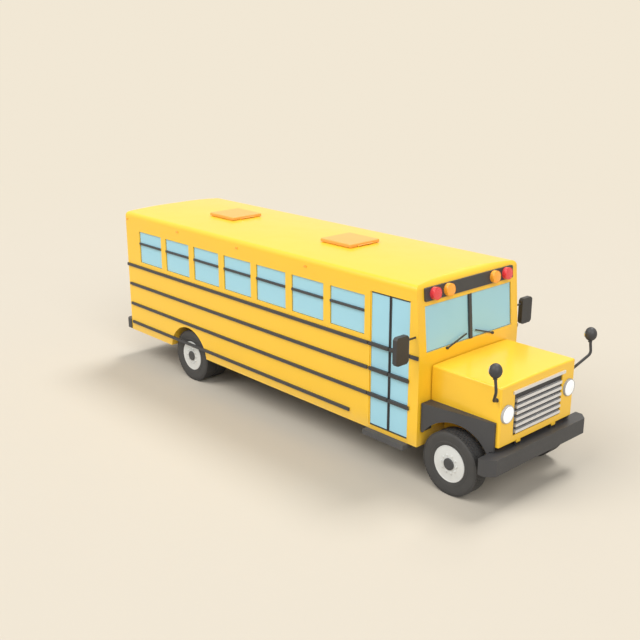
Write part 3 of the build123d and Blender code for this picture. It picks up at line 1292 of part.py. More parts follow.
# Rear emergency door with its handle, and its panes
exit_low = EXIT_LOW + DOOR_GAP
exit_high = EXIT_HIGH - DOOR_GAP
with BuildPart() as emergency_door:
    block(REAR, REAR + WALL, -EXIT_HALF + DOOR_GAP, EXIT_HALF - EXIT_GAP, exit_low, exit_high)
    for pane_name, low, high in EXIT_PANES:
        block(REAR - 1, REAR + WALL + 1, -EXIT_GLASS_HALF, EXIT_GLASS_HALF, low, high, mode=Mode.SUBTRACT)
    for z in EXIT_HINGES:
        axis_plane = Plane(
            origin=(REAR - EXIT_AXIS_OUT, -EXIT_HALF - EXIT_AXIS_PAST, z), x_dir=(0, 1, 0), z_dir=(0, 0, 1)
        )
        hinge_barrel(axis_plane, SMALL_HINGE, EXIT_AXIS_PAST + EXIT_STRAP)
        block(
            REAR - EXIT_AXIS_OUT - BARREL_RADIUS,
            REAR,
            -EXIT_HALF + DOOR_GAP + STRAP_START,
            -EXIT_HALF + EXIT_STRAP,
            z - SMALL_HINGE / 2 + LUG_THICK + LUG_GAP,
            z + SMALL_HINGE / 2 - LUG_THICK - LUG_GAP,
        )
    handle_end = EXIT_GLASS_HALF + HANDLE_PAST
    handle_top = HANDLE_Z + HANDLE_BAR
    block(REAR - HANDLE_OUT, REAR, handle_end - HANDLE_BAR, handle_end, HANDLE_Z, handle_top)
    block(REAR - HANDLE_OUT - HANDLE_BAR, REAR - HANDLE_OUT, handle_end - HANDLE_LONG, handle_end, HANDLE_Z, handle_top)
save(emergency_door.part, "emergency_door")

with BuildPart() as emergency_glass:
    for pane_name, low, high in EXIT_PANES:
        block(
            REAR + GLASS_SET_IN,
            REAR + GLASS_SET_IN + GLASS,
            -EXIT_GLASS_HALF + FIT,
            EXIT_GLASS_HALF - FIT,
            low + FIT,
            high - FIT,
        )
save(emergency_glass.part, "emergency_glass")


def hood_block(inset, low):
    """Solid of the hood from a height up, rounded outside and plain where it is moved in."""
    half = HOOD_HALF - inset
    back = WALL if inset else 0
    with BuildPart() as piece:
        with BuildSketch(Plane.YZ.offset(HOOD_REAR - back)) as section:
            with BuildLine():
                Polyline((half, HOOD_SIDE_Z - inset), (half, low), (-half, low), (-half, HOOD_SIDE_Z - inset))
                ThreePointArc((-half, HOOD_SIDE_Z - inset), (0, HOOD_CROWN_Z - inset), (half, HOOD_SIDE_Z - inset))
            make_face()
            if inset == 0:
                fillet(section.vertices().group_by(Axis.Y)[-1], HOOD_EDGE)
        extrude(amount=HOOD_FRONT - inset - HOOD_REAR + back)
        if inset == 0:
            fillet(piece.faces().sort_by(Axis.X)[-1].edges().sort_by(Axis.Z)[1:], HOOD_EDGE)
    return piece.part


# Hood shell: open behind and below, with wheel arches, liners and hinge barrels
with BuildPart() as hood:
    add(hood_block(0, HOOD_LOW))
    add(hood_block(HOOD_SKIN, HOOD_LOW - WALL), mode=Mode.SUBTRACT)
    with BuildSketch(Plane.XZ.offset(-HALF)):
        with Locations((FRONT_AXLE, TYRE_RADIUS)):
            Circle(HOOD_ARCH)
    extrude(amount=BODY_WIDTH, mode=Mode.SUBTRACT)
    with BuildSketch(Plane.YZ.offset(HOOD_FRONT - WALL)):
        with Locations((0, (GRILLE_LOW + GRILLE_HIGH) / 2)):
            Rectangle(2 * GRILLE_HALF, GRILLE_HIGH - GRILLE_LOW)
    extrude(amount=2 * WALL, mode=Mode.SUBTRACT)
    for side in (RIGHT, LEFT):
        y_low, y_high = sorted((side * LINER_SIDE, side * (LINER_SIDE - FENDER_SKIN)))
        liner_front = fore(BUMPER_FRONT_AT) - BUMPER_DEEP - FENDER_CLEAR
        block(HOOD_REAR, liner_front, y_low, y_high, LINER_LOW, HOOD_SIDE_Z - HOOD_SKIN / 2)
    for y in (-HOOD_HINGE_SIDE, HOOD_HINGE_SIDE):
        hinge_barrel(
            Plane(origin=(hood_axis_x, y, HOOD_PIVOT_Z), x_dir=(0, 0, 1), z_dir=(0, 1, 0)),
            HOOD_HINGE_LONG,
            HOOD_LOW - HOOD_PIVOT_Z + HOOD_TAB,
            HOOD_PIN_RADIUS,
            HOOD_BARREL_RADIUS,
        )
save(hood.part, "hood")


def fender_plan(side, inset):
    """Plan of a fender: its outer face draws in towards the front."""
    Polyline(
        (HOOD_REAR + inset, side * (HOOD_HALF + FIT)),
        (HOOD_REAR + inset, side * (FENDER_REAR_SIDE - inset)),
        (fore(FENDER_FRONT_AT) - inset, side * (FENDER_FRONT_SIDE - inset)),
        (fore(FENDER_FRONT_AT) - inset, side * (HOOD_HALF + FIT)),
        close=True,
    )


# Fenders: thin shells over the front wheels, open inside and below
with BuildPart() as fenders:
    for side in (RIGHT, LEFT):
        with BuildSketch(Plane.XY.offset(FENDER_FRONT_LOW)):
            with BuildLine():
                fender_plan(side, 0)
            make_face()
        extrude(amount=FENDER_TOP - FENDER_FRONT_LOW)
    for side in (RIGHT, LEFT):
        with BuildSketch(Plane.XY.offset(FENDER_FRONT_LOW)):
            with BuildLine():
                fender_plan(side, FENDER_SKIN)
            make_face()
        extrude(amount=FENDER_TOP - FENDER_SKIN - FENDER_FRONT_LOW, mode=Mode.SUBTRACT)
    with BuildSketch(Plane.XZ.offset(-HALF)):
        with Locations((FRONT_AXLE, TYRE_RADIUS)):
            Circle(HOOD_ARCH)
        with Locations((HOOD_REAR, FENDER_FRONT_LOW)):
            Rectangle(FRONT_AXLE - HOOD_REAR, FENDER_REAR_LOW - FENDER_FRONT_LOW, align=(Align.MIN, Align.MIN))
        with Locations((fore(BUMPER_FRONT_AT) - BUMPER_DEEP - FENDER_CLEAR, FENDER_FRONT_LOW)):
            Rectangle(BUMPER_DEEP, BUMPER_HIGH + FENDER_CLEAR - FENDER_FRONT_LOW, align=(Align.MIN, Align.MIN))
    extrude(amount=BODY_WIDTH, mode=Mode.SUBTRACT)
save(fenders.part, "fenders")

# Grille: back plate in the hood's opening and slats between two posts
with BuildPart() as grille_back:
    back_x = HOOD_FRONT - HOOD_SKIN
    block(
        back_x,
        back_x + GRILLE_BACK,
        -GRILLE_HALF + FIT,
        GRILLE_HALF - FIT,
        GRILLE_LOW + FIT,
        GRILLE_HIGH - FIT,
    )
save(grille_back.part, "grille_back")

with BuildPart() as grille:
    slat_front = back_x + GRILLE_BACK + SLAT_PROUD
    slat_pitch = (GRILLE_HIGH - GRILLE_LOW - GRILLE_BORDER) / (SLAT_COUNT - 0.5)
    for number in range(SLAT_COUNT - 1):
        slat_low = GRILLE_LOW + GRILLE_BORDER + number * slat_pitch
        block(
            back_x + GRILLE_BACK + FIT,
            slat_front,
            -GRILLE_HALF + GRILLE_BORDER,
            GRILLE_HALF - GRILLE_BORDER,
            slat_low,
            slat_low + SLAT_HIGH,
        )
    block(HOOD_FRONT + FIT, slat_front, -TOP_BAR_HALF, TOP_BAR_HALF, GRILLE_HIGH - FIT, GRILLE_HIGH + SLAT_HIGH)
save(grille.part, "grille")

# Headlamps on the hood's front face
with BuildPart() as headlamps:
    for side in (RIGHT, LEFT):
        face = Plane(origin=(HOOD_FRONT + FIT, side * HEADLAMP_SIDE, HEADLAMP_Z), x_dir=(0, 1, 0), z_dir=(1, 0, 0))
        lens(face, HEADLAMP_RADIUS, HEADLAMP_DEEP)
save(headlamps.part, "headlamps")

# Crossview mirrors on bent stalks from the hood's sides
with BuildPart() as crossview_mirrors:
    for side in (RIGHT, LEFT):
        foot = (fore(STALK_FOOT_AT), side * (HOOD_HALF + FIT), STALK_FOOT_Z)
        with BuildLine():
            Polyline(
                foot,
                (fore(STALK_FOOT_AT), side * (HOOD_HALF + STALK_OUT), STALK_FOOT_Z),
                (fore(STALK_KNEE_AT), side * STALK_KNEE_SIDE, STALK_KNEE_Z),
                (fore(CROSSVIEW_AT), side * CROSSVIEW_SIDE, CROSSVIEW_Z),
            )
        with BuildSketch(Plane(origin=foot, z_dir=(0, side, 0))):
            RegularPolygon(STALK_RADIUS, 8)
        sweep(transition=Transition.RIGHT)
        head = Plane(origin=(fore(CROSSVIEW_AT), side * CROSSVIEW_SIDE, CROSSVIEW_Z), x_dir=(1, 0, 0), z_dir=(0, -1, 0))
        with BuildSketch(head):
            with BuildLine():
                Polyline(*[(share * CROSSVIEW_RADIUS, high * CROSSVIEW_HIGH / 2) for share, high in CROSSVIEW_BANDS], close=True)
            make_face()
        revolve(axis=Axis(head.origin, (0, 0, 1)))
save(crossview_mirrors.part, "crossview_mirrors")

# Stop arm folded along the left side, on its bracket between the rails
with BuildPart() as stop_arm:
    hinge_barrel(Plane(origin=stop_axis, x_dir=(-1, 0, 0), z_dir=(0, 0, 1)), STOP_HINGE_HIGH, STOP_TAB)
    with BuildSketch(Plane.XZ.offset(-stop_axis[1] - STOP_THICK / 2)):
        with Locations((stop_axis[0] - STOP_NEAR - STOP_ACROSS / 2, STOP_Z)):
            RegularPolygon(STOP_ACROSS / 2, 8, major_radius=False, rotation=360 / 16)
    extrude(amount=STOP_THICK)
save(stop_arm.part, "stop_arm")
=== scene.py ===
# %% [markdown]
# # School bus, dressed
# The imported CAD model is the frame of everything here: each of its nodes already sits where the real piece
# sits, in metres, with +X towards the front of the bus, +Y to its left and +Z up. This script keeps those
# nodes, gives each one a procedural finish, and adds what a drawing office leaves to the workshop: tread,
# rivets, seals, cushions, nuts, clamps and lamp rims.

# %% Load the frame
from math import atan2, cos, pi, radians, sin

import bmesh
import bpy
from mathutils import Matrix, Vector


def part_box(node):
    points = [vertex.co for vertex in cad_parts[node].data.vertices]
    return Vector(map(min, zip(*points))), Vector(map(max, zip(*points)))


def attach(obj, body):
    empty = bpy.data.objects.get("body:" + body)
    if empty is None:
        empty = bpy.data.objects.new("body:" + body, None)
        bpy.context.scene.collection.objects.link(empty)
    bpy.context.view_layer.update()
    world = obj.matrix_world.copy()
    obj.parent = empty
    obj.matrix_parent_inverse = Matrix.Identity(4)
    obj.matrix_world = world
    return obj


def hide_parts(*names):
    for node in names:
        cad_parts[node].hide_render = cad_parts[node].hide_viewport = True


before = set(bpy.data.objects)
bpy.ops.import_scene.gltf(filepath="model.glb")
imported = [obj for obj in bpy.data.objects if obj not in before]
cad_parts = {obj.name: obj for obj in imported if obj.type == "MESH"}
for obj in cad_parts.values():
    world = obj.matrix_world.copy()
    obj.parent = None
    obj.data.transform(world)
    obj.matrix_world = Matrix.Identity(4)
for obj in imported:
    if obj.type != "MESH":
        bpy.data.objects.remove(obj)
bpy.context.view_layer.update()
SIDES = {-1: "right", 1: "left"}


def put(name, data):
    """A new object in the scene."""
    made = bpy.data.objects.new(name, data)
    bpy.context.scene.collection.objects.link(made)
    return made


def corner(name, high=False):
    """The low or the high corner of a CAD node at rest."""
    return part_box(name)[1 if high else 0]


# %% [markdown]
# ## Camera
# A long edge, a short edge and an upright edge of a box are enough to find where a camera stood. The bus
# gave all three, so the camera is set once from that fit and never touched again. A longer lens would
# flatten the nose.

# %% Camera
VIEW_AZIMUTH = radians(47.291)
VIEW_ELEVATION = radians(17.333)
VIEW_PLACE = (11.9375, -11.101, 6.692)
LENS = 52.164
FAR_CLIP = 200

camera = put("view", bpy.data.cameras.new("view"))
camera.data.lens = LENS
camera.data.clip_end = FAR_CLIP
camera.location = VIEW_PLACE
camera.rotation_euler = (pi / 2 - VIEW_ELEVATION, 0, VIEW_AZIMUTH)
bpy.context.scene.camera = camera
bpy.context.scene.view_settings.view_transform = "Standard"
print("the camera looks from", VIEW_PLACE)

# %% [markdown]
# ## Shader maths in plain Python
# A material is a graph, but a formula reads better than forty links. `Wire` wraps one socket and turns `+ -
# * /` into Math nodes, so a mask can be written as `1 - wet * 0.5`. `Graph.node` makes any node from its
# type, its settings and the values or wires of its sockets, for shaders and for Geometry Nodes alike.

# %% Wires and graphs
class Wire:
    """An output socket that Python arithmetic can use."""

    def __init__(self, graph, socket):
        self.graph = graph
        self.socket = socket

    def __add__(self, other):
        return self.graph.math("ADD", self, other)

    def __sub__(self, other):
        return self.graph.math("SUBTRACT", self, other)

    def __rsub__(self, other):
        return self.graph.math("SUBTRACT", other, self)

    def __mul__(self, other):
        return self.graph.math("MULTIPLY", self, other)

    def __rtruediv__(self, other):
        return self.graph.math("DIVIDE", other, self)

    __radd__ = __add__
    __rmul__ = __mul__


class Graph:
    """A node tree that is filled by calls instead of by hand."""

    def __init__(self, tree):
        self.tree = tree

    def feed(self, socket, value):
        if isinstance(value, Wire):
            self.tree.links.new(value.socket, socket)
        elif socket.type == "RGBA" and len(value) == 3:
            socket.default_value = (*value, 1)
        else:
            socket.default_value = value

    def node(self, kind, settings=None, values=None, out=0):
        """A new node; settings are set first, then sockets by name or number; out picks the output."""
        made = self.tree.nodes.new(kind)
        for setting, value in (settings or {}).items():
            setattr(made, setting, value)
        for key, value in (values or {}).items():
            self.feed(made.inputs[key], value)
        return Wire(self, made.outputs[out])

    def math(self, operation, *values):
        return self.node("ShaderNodeMath", {"operation": operation}, dict(enumerate(values)))


# %% Finishes
class Finish(Graph):
    """A material: a Principled shader with helpers for the patterns that this bus needs."""

    def __init__(self, name, **constants):
        self.material = bpy.data.materials.new(name)
        self.material.use_nodes = True
        super().__init__(self.material.node_tree)
        self.shader = self.tree.nodes["Principled BSDF"]
        self.output = self.tree.nodes["Material Output"]
        self.place = self.node("ShaderNodeTexCoord", out="Object")
        for socket, value in constants.items():
            self.set(socket, value)

    def set(self, socket, value):
        self.feed(self.shader.inputs[socket.replace("_", " ")], value)

    def axes(self):
        """Wires of x, y and z in metres."""
        split = self.node("ShaderNodeSeparateXYZ", values={"Vector": self.place}).socket.node
        return [Wire(self, output) for output in split.outputs]

    def stretched(self, scale):
        """The place with each axis multiplied, for grain that runs one way."""
        return self.node("ShaderNodeVectorMath", {"operation": "MULTIPLY"}, {0: self.place, 1: scale})

    def noise(self, scale, detail=3.0, place=None):
        """Soft random tone, about 0.5 on average."""
        values = {"Vector": place or self.place, "Scale": scale, "Detail": detail}
        return self.node("ShaderNodeTexNoise", values=values)

    def cells(self, scale, feature="F1"):
        """Distance to the nearest of many scattered points."""
        return self.node("ShaderNodeTexVoronoi", {"feature": feature}, {"Vector": self.place, "Scale": scale})

    def step(self, value, start, end):
        """0 before start, 1 after end, smooth between."""
        values = {"Value": value, "From Min": start, "From Max": end}
        return self.node("ShaderNodeMapRange", {"interpolation_type": "SMOOTHSTEP"}, values)

    def blend(self, factor, first, second):
        """Colour between two colours."""
        return self.node("ShaderNodeMix", {"data_type": "RGBA"}, {0: factor, 6: first, 7: second}, out=2)

    def relief(self, height, distance, strength=1.0):
        """Bump whose height is in units of the distance, in metres."""
        self.set("Normal", self.node("ShaderNodeBump", values={
            "Height": height, "Distance": distance, "Strength": strength}))


def shade(colour, factor):
    """A darker or lighter tone of a colour."""
    return [channel * factor for channel in colour]


# %% [markdown]
# ## Studio
# A bright dull sky and three broad suns light the bus: one from the door side, one from behind the far roof
# edge, which lays the soft shadow towards the viewer, and a weaker one on the nose. A sun lights the whole
# floor alike, where a near lamp would leave a bright pool. The floor melts into the backdrop's tone further
# out, only as the camera sees it, so no extra light reaches the paint.

# %% Floor that melts into the backdrop
BACKDROP = (0.885, 0.805, 0.665)
FLOOR_TONE = (0.540, 0.489, 0.406)
FLOOR_RADIUS = 90
FADE_START, FADE_END = 9, 30

paving = Finish("studio_floor", Roughness=0.9, Specular_IOR_Level=0.1)
paving.set("Base_Color", paving.blend(paving.noise(0.7), FLOOR_TONE, shade(FLOOR_TONE, 0.99)))
distance = paving.node("ShaderNodeVectorMath", {"operation": "LENGTH"}, {0: paving.place}, out="Value")
seen = paving.node("ShaderNodeLightPath", out="Is Camera Ray")
fade = paving.step(distance, FADE_START, FADE_END) * seen
glow = paving.node("ShaderNodeEmission", values={"Color": BACKDROP})
lit = Wire(paving, paving.shader.outputs[0])
mixed = paving.node("ShaderNodeMixShader", values={0: fade, 1: lit, 2: glow})
paving.feed(paving.output.inputs["Surface"], mixed)

disc = bmesh.new()
bmesh.ops.create_circle(disc, cap_ends=True, segments=96, radius=FLOOR_RADIUS)
floor_mesh = bpy.data.meshes.new("studio_floor")
disc.to_mesh(floor_mesh)
disc.free()
floor_mesh.materials.append(paving.material)
studio_floor = put("studio_floor", floor_mesh)
print("the floor fades from", FADE_START, "to", FADE_END, "m out")

# %% Sky
SKY_TONE = (0.95, 0.97, 1.0)
SKY_LIGHT = 0.40

sky = bpy.data.worlds.new("studio")
sky.use_nodes = True
bpy.context.scene.world = sky
air = Graph(sky.node_tree)
path = air.node("ShaderNodeLightPath").socket.node
by_camera, through_glass, in_gloss = [
    Wire(air, path.outputs[f"Is {kind} Ray"]) for kind in ("Camera", "Transmission", "Glossy")]
shown = by_camera + through_glass + in_gloss
tone = air.node("ShaderNodeMix", {"data_type": "RGBA"}, {0: shown, 6: SKY_TONE, 7: BACKDROP}, out=2)
backdrop = sky.node_tree.nodes["Background"]
air.feed(backdrop.inputs["Color"], tone)
air.feed(backdrop.inputs["Strength"], shown + (1 - shown) * SKY_LIGHT)
print("the sky lights the bus at", SKY_LIGHT, "of the brightness that it shows")

# %% Lamps
# name, where it shines from, watts for each square metre, how many degrees it spans
LAMPS = [
    ("key", (-0.30, -0.66, 0.75), 1.80, 46),
    ("back", (-0.06, 0.46, 0.88), 1.95, 22),
    ("nose", (0.75, -0.35, 0.60), 1.60, 40),
]
for name, source, watts, spans in LAMPS:
    lamp = put(name, bpy.data.lights.new(name, "SUN"))
    lamp.data.energy = watts
    lamp.data.angle = radians(spans)
    lamp.rotation_euler = (-Vector(source)).to_track_quat("-Z", "Y").to_euler()
print(len(LAMPS), "lamps are set")

# %% [markdown]
# ## Coach paint
# A school bus is sprayed with one thick glossy coat over pressed steel sheets. Close up it has orange peel,
# the tone drifts a little from sheet to sheet, and road dust settles on the lowest hand's breadth of the
# skirt. The bump is far smaller than a pixel at this distance, so it only softens the reflections, as real
# paint does.

# %% Coach paint
YELLOW = (0.95, 0.562, 0.024)
ROAD_DUST = (0.42, 0.36, 0.28)
DUST_BAND = 0.45
ORANGE_PEEL = 0.0004


def painted(name, colour, roughness, coat, dust_top):
    """Sprayed paint with orange peel, and dust that thins out up to a height."""
    paint = Finish(name, Coat_Roughness=0.16)
    height = paint.axes()[2]
    dust = (1 - paint.step(height, dust_top - DUST_BAND, dust_top)) * paint.noise(9, 5) * 0.35
    tone = paint.blend(paint.noise(0.8, 4), colour, shade(colour, 0.93))
    paint.set("Base_Color", paint.blend(dust, tone, ROAD_DUST))
    paint.set("Roughness", roughness + paint.noise(3) * 0.1 + dust * 0.3)
    paint.set("Coat_Weight", coat * (1 - dust))
    paint.relief(paint.noise(90, 2), ORANGE_PEEL)
    return paint.material


coach_paint = painted("coach_paint", YELLOW, 0.30, 0.4, 0.95)
hatch_paint = painted("hatch_paint", (0.93, 0.40, 0.085), 0.42, 0.15, 0.5)
wheel_paint = painted("wheel_paint", (0.69, 0.70, 0.68), 0.5, 0.1, 0.75)
sign_paint = painted("sign_paint", (0.66, 0.02, 0.03), 0.4, 0.2, 0.5)
border_paint = painted("border_paint", (0.82, 0.82, 0.80), 0.4, 0.2, 0.5)
print("paints:", [paint.name for paint in (coach_paint, hatch_paint, wheel_paint, sign_paint, border_paint)])

# %% [markdown]
# ## Dark trim, rubber and glass
# Bumpers, rails and fenders are satin charcoal with the fine pebble of moulded plastic. Seals and treads
# are softer and duller. The side glass is painted a pale blue with soft streaks, a painted reflection of the
# sky, and stands nearly opaque against a dark cabin, so most of its colour comes from its surface and a
# little of the cabin shows through.

# %% Dark trim and rubber
CHARCOAL = (0.040, 0.040, 0.042)
PEBBLE_DEPTH = 0.0003


def moulded(name, colour, roughness, pebble):
    """Moulded plastic or rubber with a pebbled skin and faint wear."""
    skin = Finish(name)
    skin.set("Base_Color", skin.blend(skin.noise(2.5, 5), colour, shade(colour, 1.35)))
    skin.set("Roughness", roughness + skin.noise(14) * 0.12)
    skin.relief(skin.cells(pebble), PEBBLE_DEPTH)
    return skin.material


charcoal = moulded("charcoal", CHARCOAL, 0.48, 260)
dark_trim = moulded("dark_trim", (0.030, 0.030, 0.032), 0.45, 320)
seal_rubber = moulded("seal_rubber", (0.022, 0.022, 0.023), 0.7, 400)
dash_plastic = moulded("dash_plastic", (0.055, 0.055, 0.058), 0.6, 220)
cap_plastic = moulded("cap_plastic", (0.045, 0.045, 0.047), 0.4, 300)
rim_grey = moulded("rim_grey", (0.36, 0.36, 0.35), 0.35, 300)
print("dark trim:", charcoal.name, dark_trim.name, seal_rubber.name)

# %% Glass and mirrors
# The pale blue of the panes is a painted reflection of the sky.
PAINTED_SKY_BLUE = (0.40, 0.725, 0.85)
PANE_COVER, COVER_DRIFT = 0.86, 0.06

painted_sky_glass = Finish("window_tint", Roughness=0.12, Specular_IOR_Level=0.45)
# Stretched noise lays soft painted streaks of that sky reflection across each pane, and the cover follows
# them.
painted_sky_streak = painted_sky_glass.noise(1.2, 4, painted_sky_glass.stretched((1, 1, 0.3)))
painted_sky_glass.set("Base_Color", painted_sky_glass.blend(painted_sky_streak, PAINTED_SKY_BLUE, shade(PAINTED_SKY_BLUE, 0.94)))
painted_sky_glass.set("Alpha", PANE_COVER + painted_sky_streak * COVER_DRIFT)
window_glass = painted_sky_glass.material

silver = Finish("mirror_silver", Metallic=1.0, Base_Color=(0.85, 0.87, 0.88))
silver.set("Roughness", 0.03 + silver.noise(6) * 0.05)
mirror_silver = silver.material
print("a pane hides", PANE_COVER, "to", round(PANE_COVER + COVER_DRIFT, 2), "of the cabin behind it")

# %% [markdown]
# ## Door leaf paint
# An entrance door leaf is one frame in two tones: charcoal rails and meeting stile, and an outer stile in
# the colour of the coach. In the CAD each leaf is one solid, so the material finds the outer stile by its
# distance from the middle of the doorway. The rub rails stand out from the leaf, which is how the mask
# leaves them dark.

# %% Door leaf paint
DOOR_MIDDLE = (corner("door_leaf_rear", True).x + corner("door_leaf_front").x) / 2
STILE_INNER = corner("door_glass_front", True).x - DOOR_MIDDLE
RAIL_FACE, LEAF_FACE = -1.2190, -1.2170

leaf_coat = Finish("leaf_coat", Coat_Roughness=0.16)
x, y, z = leaf_coat.axes()
outwards = leaf_coat.math("ABSOLUTE", x - DOOR_MIDDLE)
stile = leaf_coat.step(outwards, STILE_INNER - 0.002, STILE_INNER) * leaf_coat.step(y, RAIL_FACE, LEAF_FACE)
leaf_coat.set("Base_Color", leaf_coat.blend(stile, CHARCOAL, YELLOW))
leaf_coat.set("Roughness", 0.48 - stile * 0.12 + leaf_coat.noise(14) * 0.08)
leaf_coat.relief(leaf_coat.cells(260), 0.0002)
leaf_paint = leaf_coat.material
print("the outer stiles start", round(STILE_INNER, 3), "m from the middle of the doorway")

# %% [markdown]
# ## Tyre rubber
# A sidewall is moulded in rings round the wheel's own axis, so the ring pattern needs the distance from
# that axis and not plain x or z. There are two axles, hence two finishes from one function.

# %% Tyre rubber
def halfway(name, axis):
    """The middle of a CAD node along axis 0, 1 or 2."""
    return sum(end[axis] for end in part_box(name)) / 2


FRONT_AXLE_X = halfway("front_tyre_right", 0)
REAR_AXLE_X = halfway("rear_tyres_right", 0)
AXLE_Z = halfway("front_tyre_right", 2)
RING_PITCH = 0.013
BLACK, DUSTY_BLACK = (0.035, 0.035, 0.036), (0.085, 0.08, 0.072)


def tyre_rubber(name, axle_x):
    """Black rubber with moulded rings round one axle, and dust between them."""
    rubber = Finish(name)
    x, y, z = rubber.axes()
    across, up = x - axle_x, z - AXLE_Z
    radius = rubber.math("SQRT", across * across + up * up)
    rings = rubber.math("SINE", radius * (2 * pi / RING_PITCH))
    dust = rubber.noise(7, 5) * (0.5 - rings * 0.25)
    rubber.set("Base_Color", rubber.blend(dust, BLACK, DUSTY_BLACK))
    rubber.set("Roughness", 0.62 + dust * 0.25)
    rubber.relief(rings * 0.5 + rubber.noise(120) * 0.4, 0.0012)
    return rubber.material


front_rubber = tyre_rubber("front_rubber", FRONT_AXLE_X)
rear_rubber = tyre_rubber("rear_rubber", REAR_AXLE_X)
print("axles at x =", round(FRONT_AXLE_X, 3), "and", round(REAR_AXLE_X, 3))

# %% [markdown]
# ## Metals under the floor
# Frame rails are dipped in black, spring leaves stay scaly, the silencer discolours in darker brown patches,
# and the engine is a rough iron casting. All of them carry dust that grows towards the ground.

# %% Metals
DUST_FOOT, DUST_TOP = 0.35, 1.1


def worked_metal(name, colour, second, roughness, metallic, lump, depth):
    """Bare or thinly painted metal whose second colour comes through in patches."""
    metal = Finish(name)
    height = metal.axes()[2]
    patches = metal.step(metal.noise(11, 6), 0.42, 0.68)
    dust = (1 - metal.step(height, DUST_FOOT, DUST_TOP)) * metal.noise(16, 4) * 0.5
    metal.set("Base_Color", metal.blend(dust, metal.blend(patches, colour, second), ROAD_DUST))
    metal.set("Roughness", roughness + patches * 0.15 + dust * 0.2)
    metal.set("Metallic", metallic * (1 - patches * 0.5))
    metal.relief(metal.noise(lump, 4), depth)
    return metal.material


chassis_black = worked_metal("chassis_black", (0.03, 0.03, 0.032), (0.06, 0.05, 0.045), 0.5, 0.1, 70, 0.0006)
spring_steel = worked_metal("spring_steel", (0.045, 0.045, 0.048), (0.11, 0.07, 0.05), 0.55, 0.4, 60, 0.0008)
exhaust_steel = worked_metal("exhaust_steel", (0.32, 0.29, 0.25), (0.17, 0.12, 0.11), 0.42, 0.8, 40, 0.0006)
engine_iron = worked_metal("engine_iron", (0.10, 0.10, 0.105), (0.15, 0.13, 0.11), 0.7, 0.3, 120, 0.0015)
bright_steel = worked_metal("bright_steel", (0.62, 0.62, 0.61), (0.5, 0.49, 0.47), 0.3, 0.9, 90, 0.0002)
print("metals:", chassis_black.name, spring_steel.name, exhaust_steel.name, engine_iron.name)

# %% Grille slats
slat_metal = Finish("slat_metal", Metallic=0.55)
brushed = slat_metal.noise(40, 3, slat_metal.stretched((8, 0.4, 8)))
slat_metal.set("Base_Color", slat_metal.blend(brushed, (0.80, 0.80, 0.80), (0.68, 0.68, 0.69)))
slat_metal.set("Roughness", 0.3 + brushed * 0.15)
slat_metal.relief(brushed, 0.0003)
slat_silver = slat_metal.material
print("the slats are brushed from side to side")

# %% [markdown]
# ## Lamp lenses
# A signal lens is clear coloured plastic with small prisms moulded inside it. Cells on a fine grid stand in
# for the prisms: they break up the highlight, which is what makes a lamp look like a lamp when it is off.
# Each lens also carries a painted glow: it gives off a little light of its own tone, though no lamp is lit.

# %% Lamp lenses
def lens(name, colour, cell, glow=0.12):
    """Coloured lens with moulded prisms and a painted glow: a little light of its own, though the lamp is
    off.
    """
    # glow is painted light: the lens emits its own tone as if the lamp were lit.
    plastic = Finish(name, Coat_Weight=0.6, Coat_Roughness=0.05, Emission_Strength=glow)
    prisms = plastic.cells(cell)
    tone = plastic.blend(prisms, colour, shade(colour, 0.75))
    plastic.set("Base_Color", tone)
    plastic.set("Emission_Color", tone)
    plastic.set("Roughness", 0.22 + prisms * 0.1)
    plastic.relief(prisms, 0.0015, 0.6)
    return plastic.material


# Each lens gets a painted glow, and the headlamps get the strongest.
red_lens = lens("red_lens", (0.80, 0.045, 0.055), 60)
amber_lens = lens("amber_lens", (0.98, 0.40, 0.03), 60)
white_lens = lens("white_lens", (0.92, 0.93, 0.93), 45, 0.35)
print("lenses:", red_lens.name, amber_lens.name, white_lens.name)

# %% [markdown]
# ## Cabin surfaces
# The floor is ribbed rubber, with ribs along the bus so that it sweeps clean. The benches are covered in a
# dark vinyl with a leather-like grain.

# %% Cabin surfaces
RIB_PITCH = 0.02

rubber_floor = Finish("ribbed_floor")
ribs = rubber_floor.math("SINE", rubber_floor.axes()[1] * (2 * pi / RIB_PITCH))
scuffs = rubber_floor.noise(5, 6)
rubber_floor.set("Base_Color", rubber_floor.blend(scuffs, (0.045, 0.045, 0.048), (0.10, 0.098, 0.095)))
rubber_floor.set("Roughness", 0.65 + scuffs * 0.15)
rubber_floor.relief(ribs, 0.0015)
ribbed_floor = rubber_floor.material

vinyl = Finish("bench_vinyl", Sheen_Weight=0.1)
worn = vinyl.noise(3, 5)
vinyl.set("Base_Color", vinyl.blend(worn, (0.030, 0.055, 0.085), (0.05, 0.08, 0.11)))
vinyl.set("Roughness", 0.42 + worn * 0.15)
vinyl.relief(vinyl.cells(230, "DISTANCE_TO_EDGE"), 0.0006)
bench_vinyl = vinyl.material
print("floor ribs are", RIB_PITCH, "m apart")

# %% [markdown]
# ## Shaping tools
# Nearly all the trim on a bus is one of three shapes: a bar with softened edges, a form turned on a lathe,
# or a bent tube. bmesh makes each in a few lines. `Work` gathers such shapes into one mesh, and `deliver`
# turns the mesh into a piece that rides on a body of the frame.

# %% Shaping tools
AHEAD, ASTERN, UP = Vector((1, 0, 0)), Vector((-1, 0, 0)), Vector((0, 0, 1))
ON_AXIS = 1e-6
# HAIR keeps two faces out of one plane, and SOFT is how far a small part's edges are rounded.
HAIR, SOFT = 0.0005, 0.002


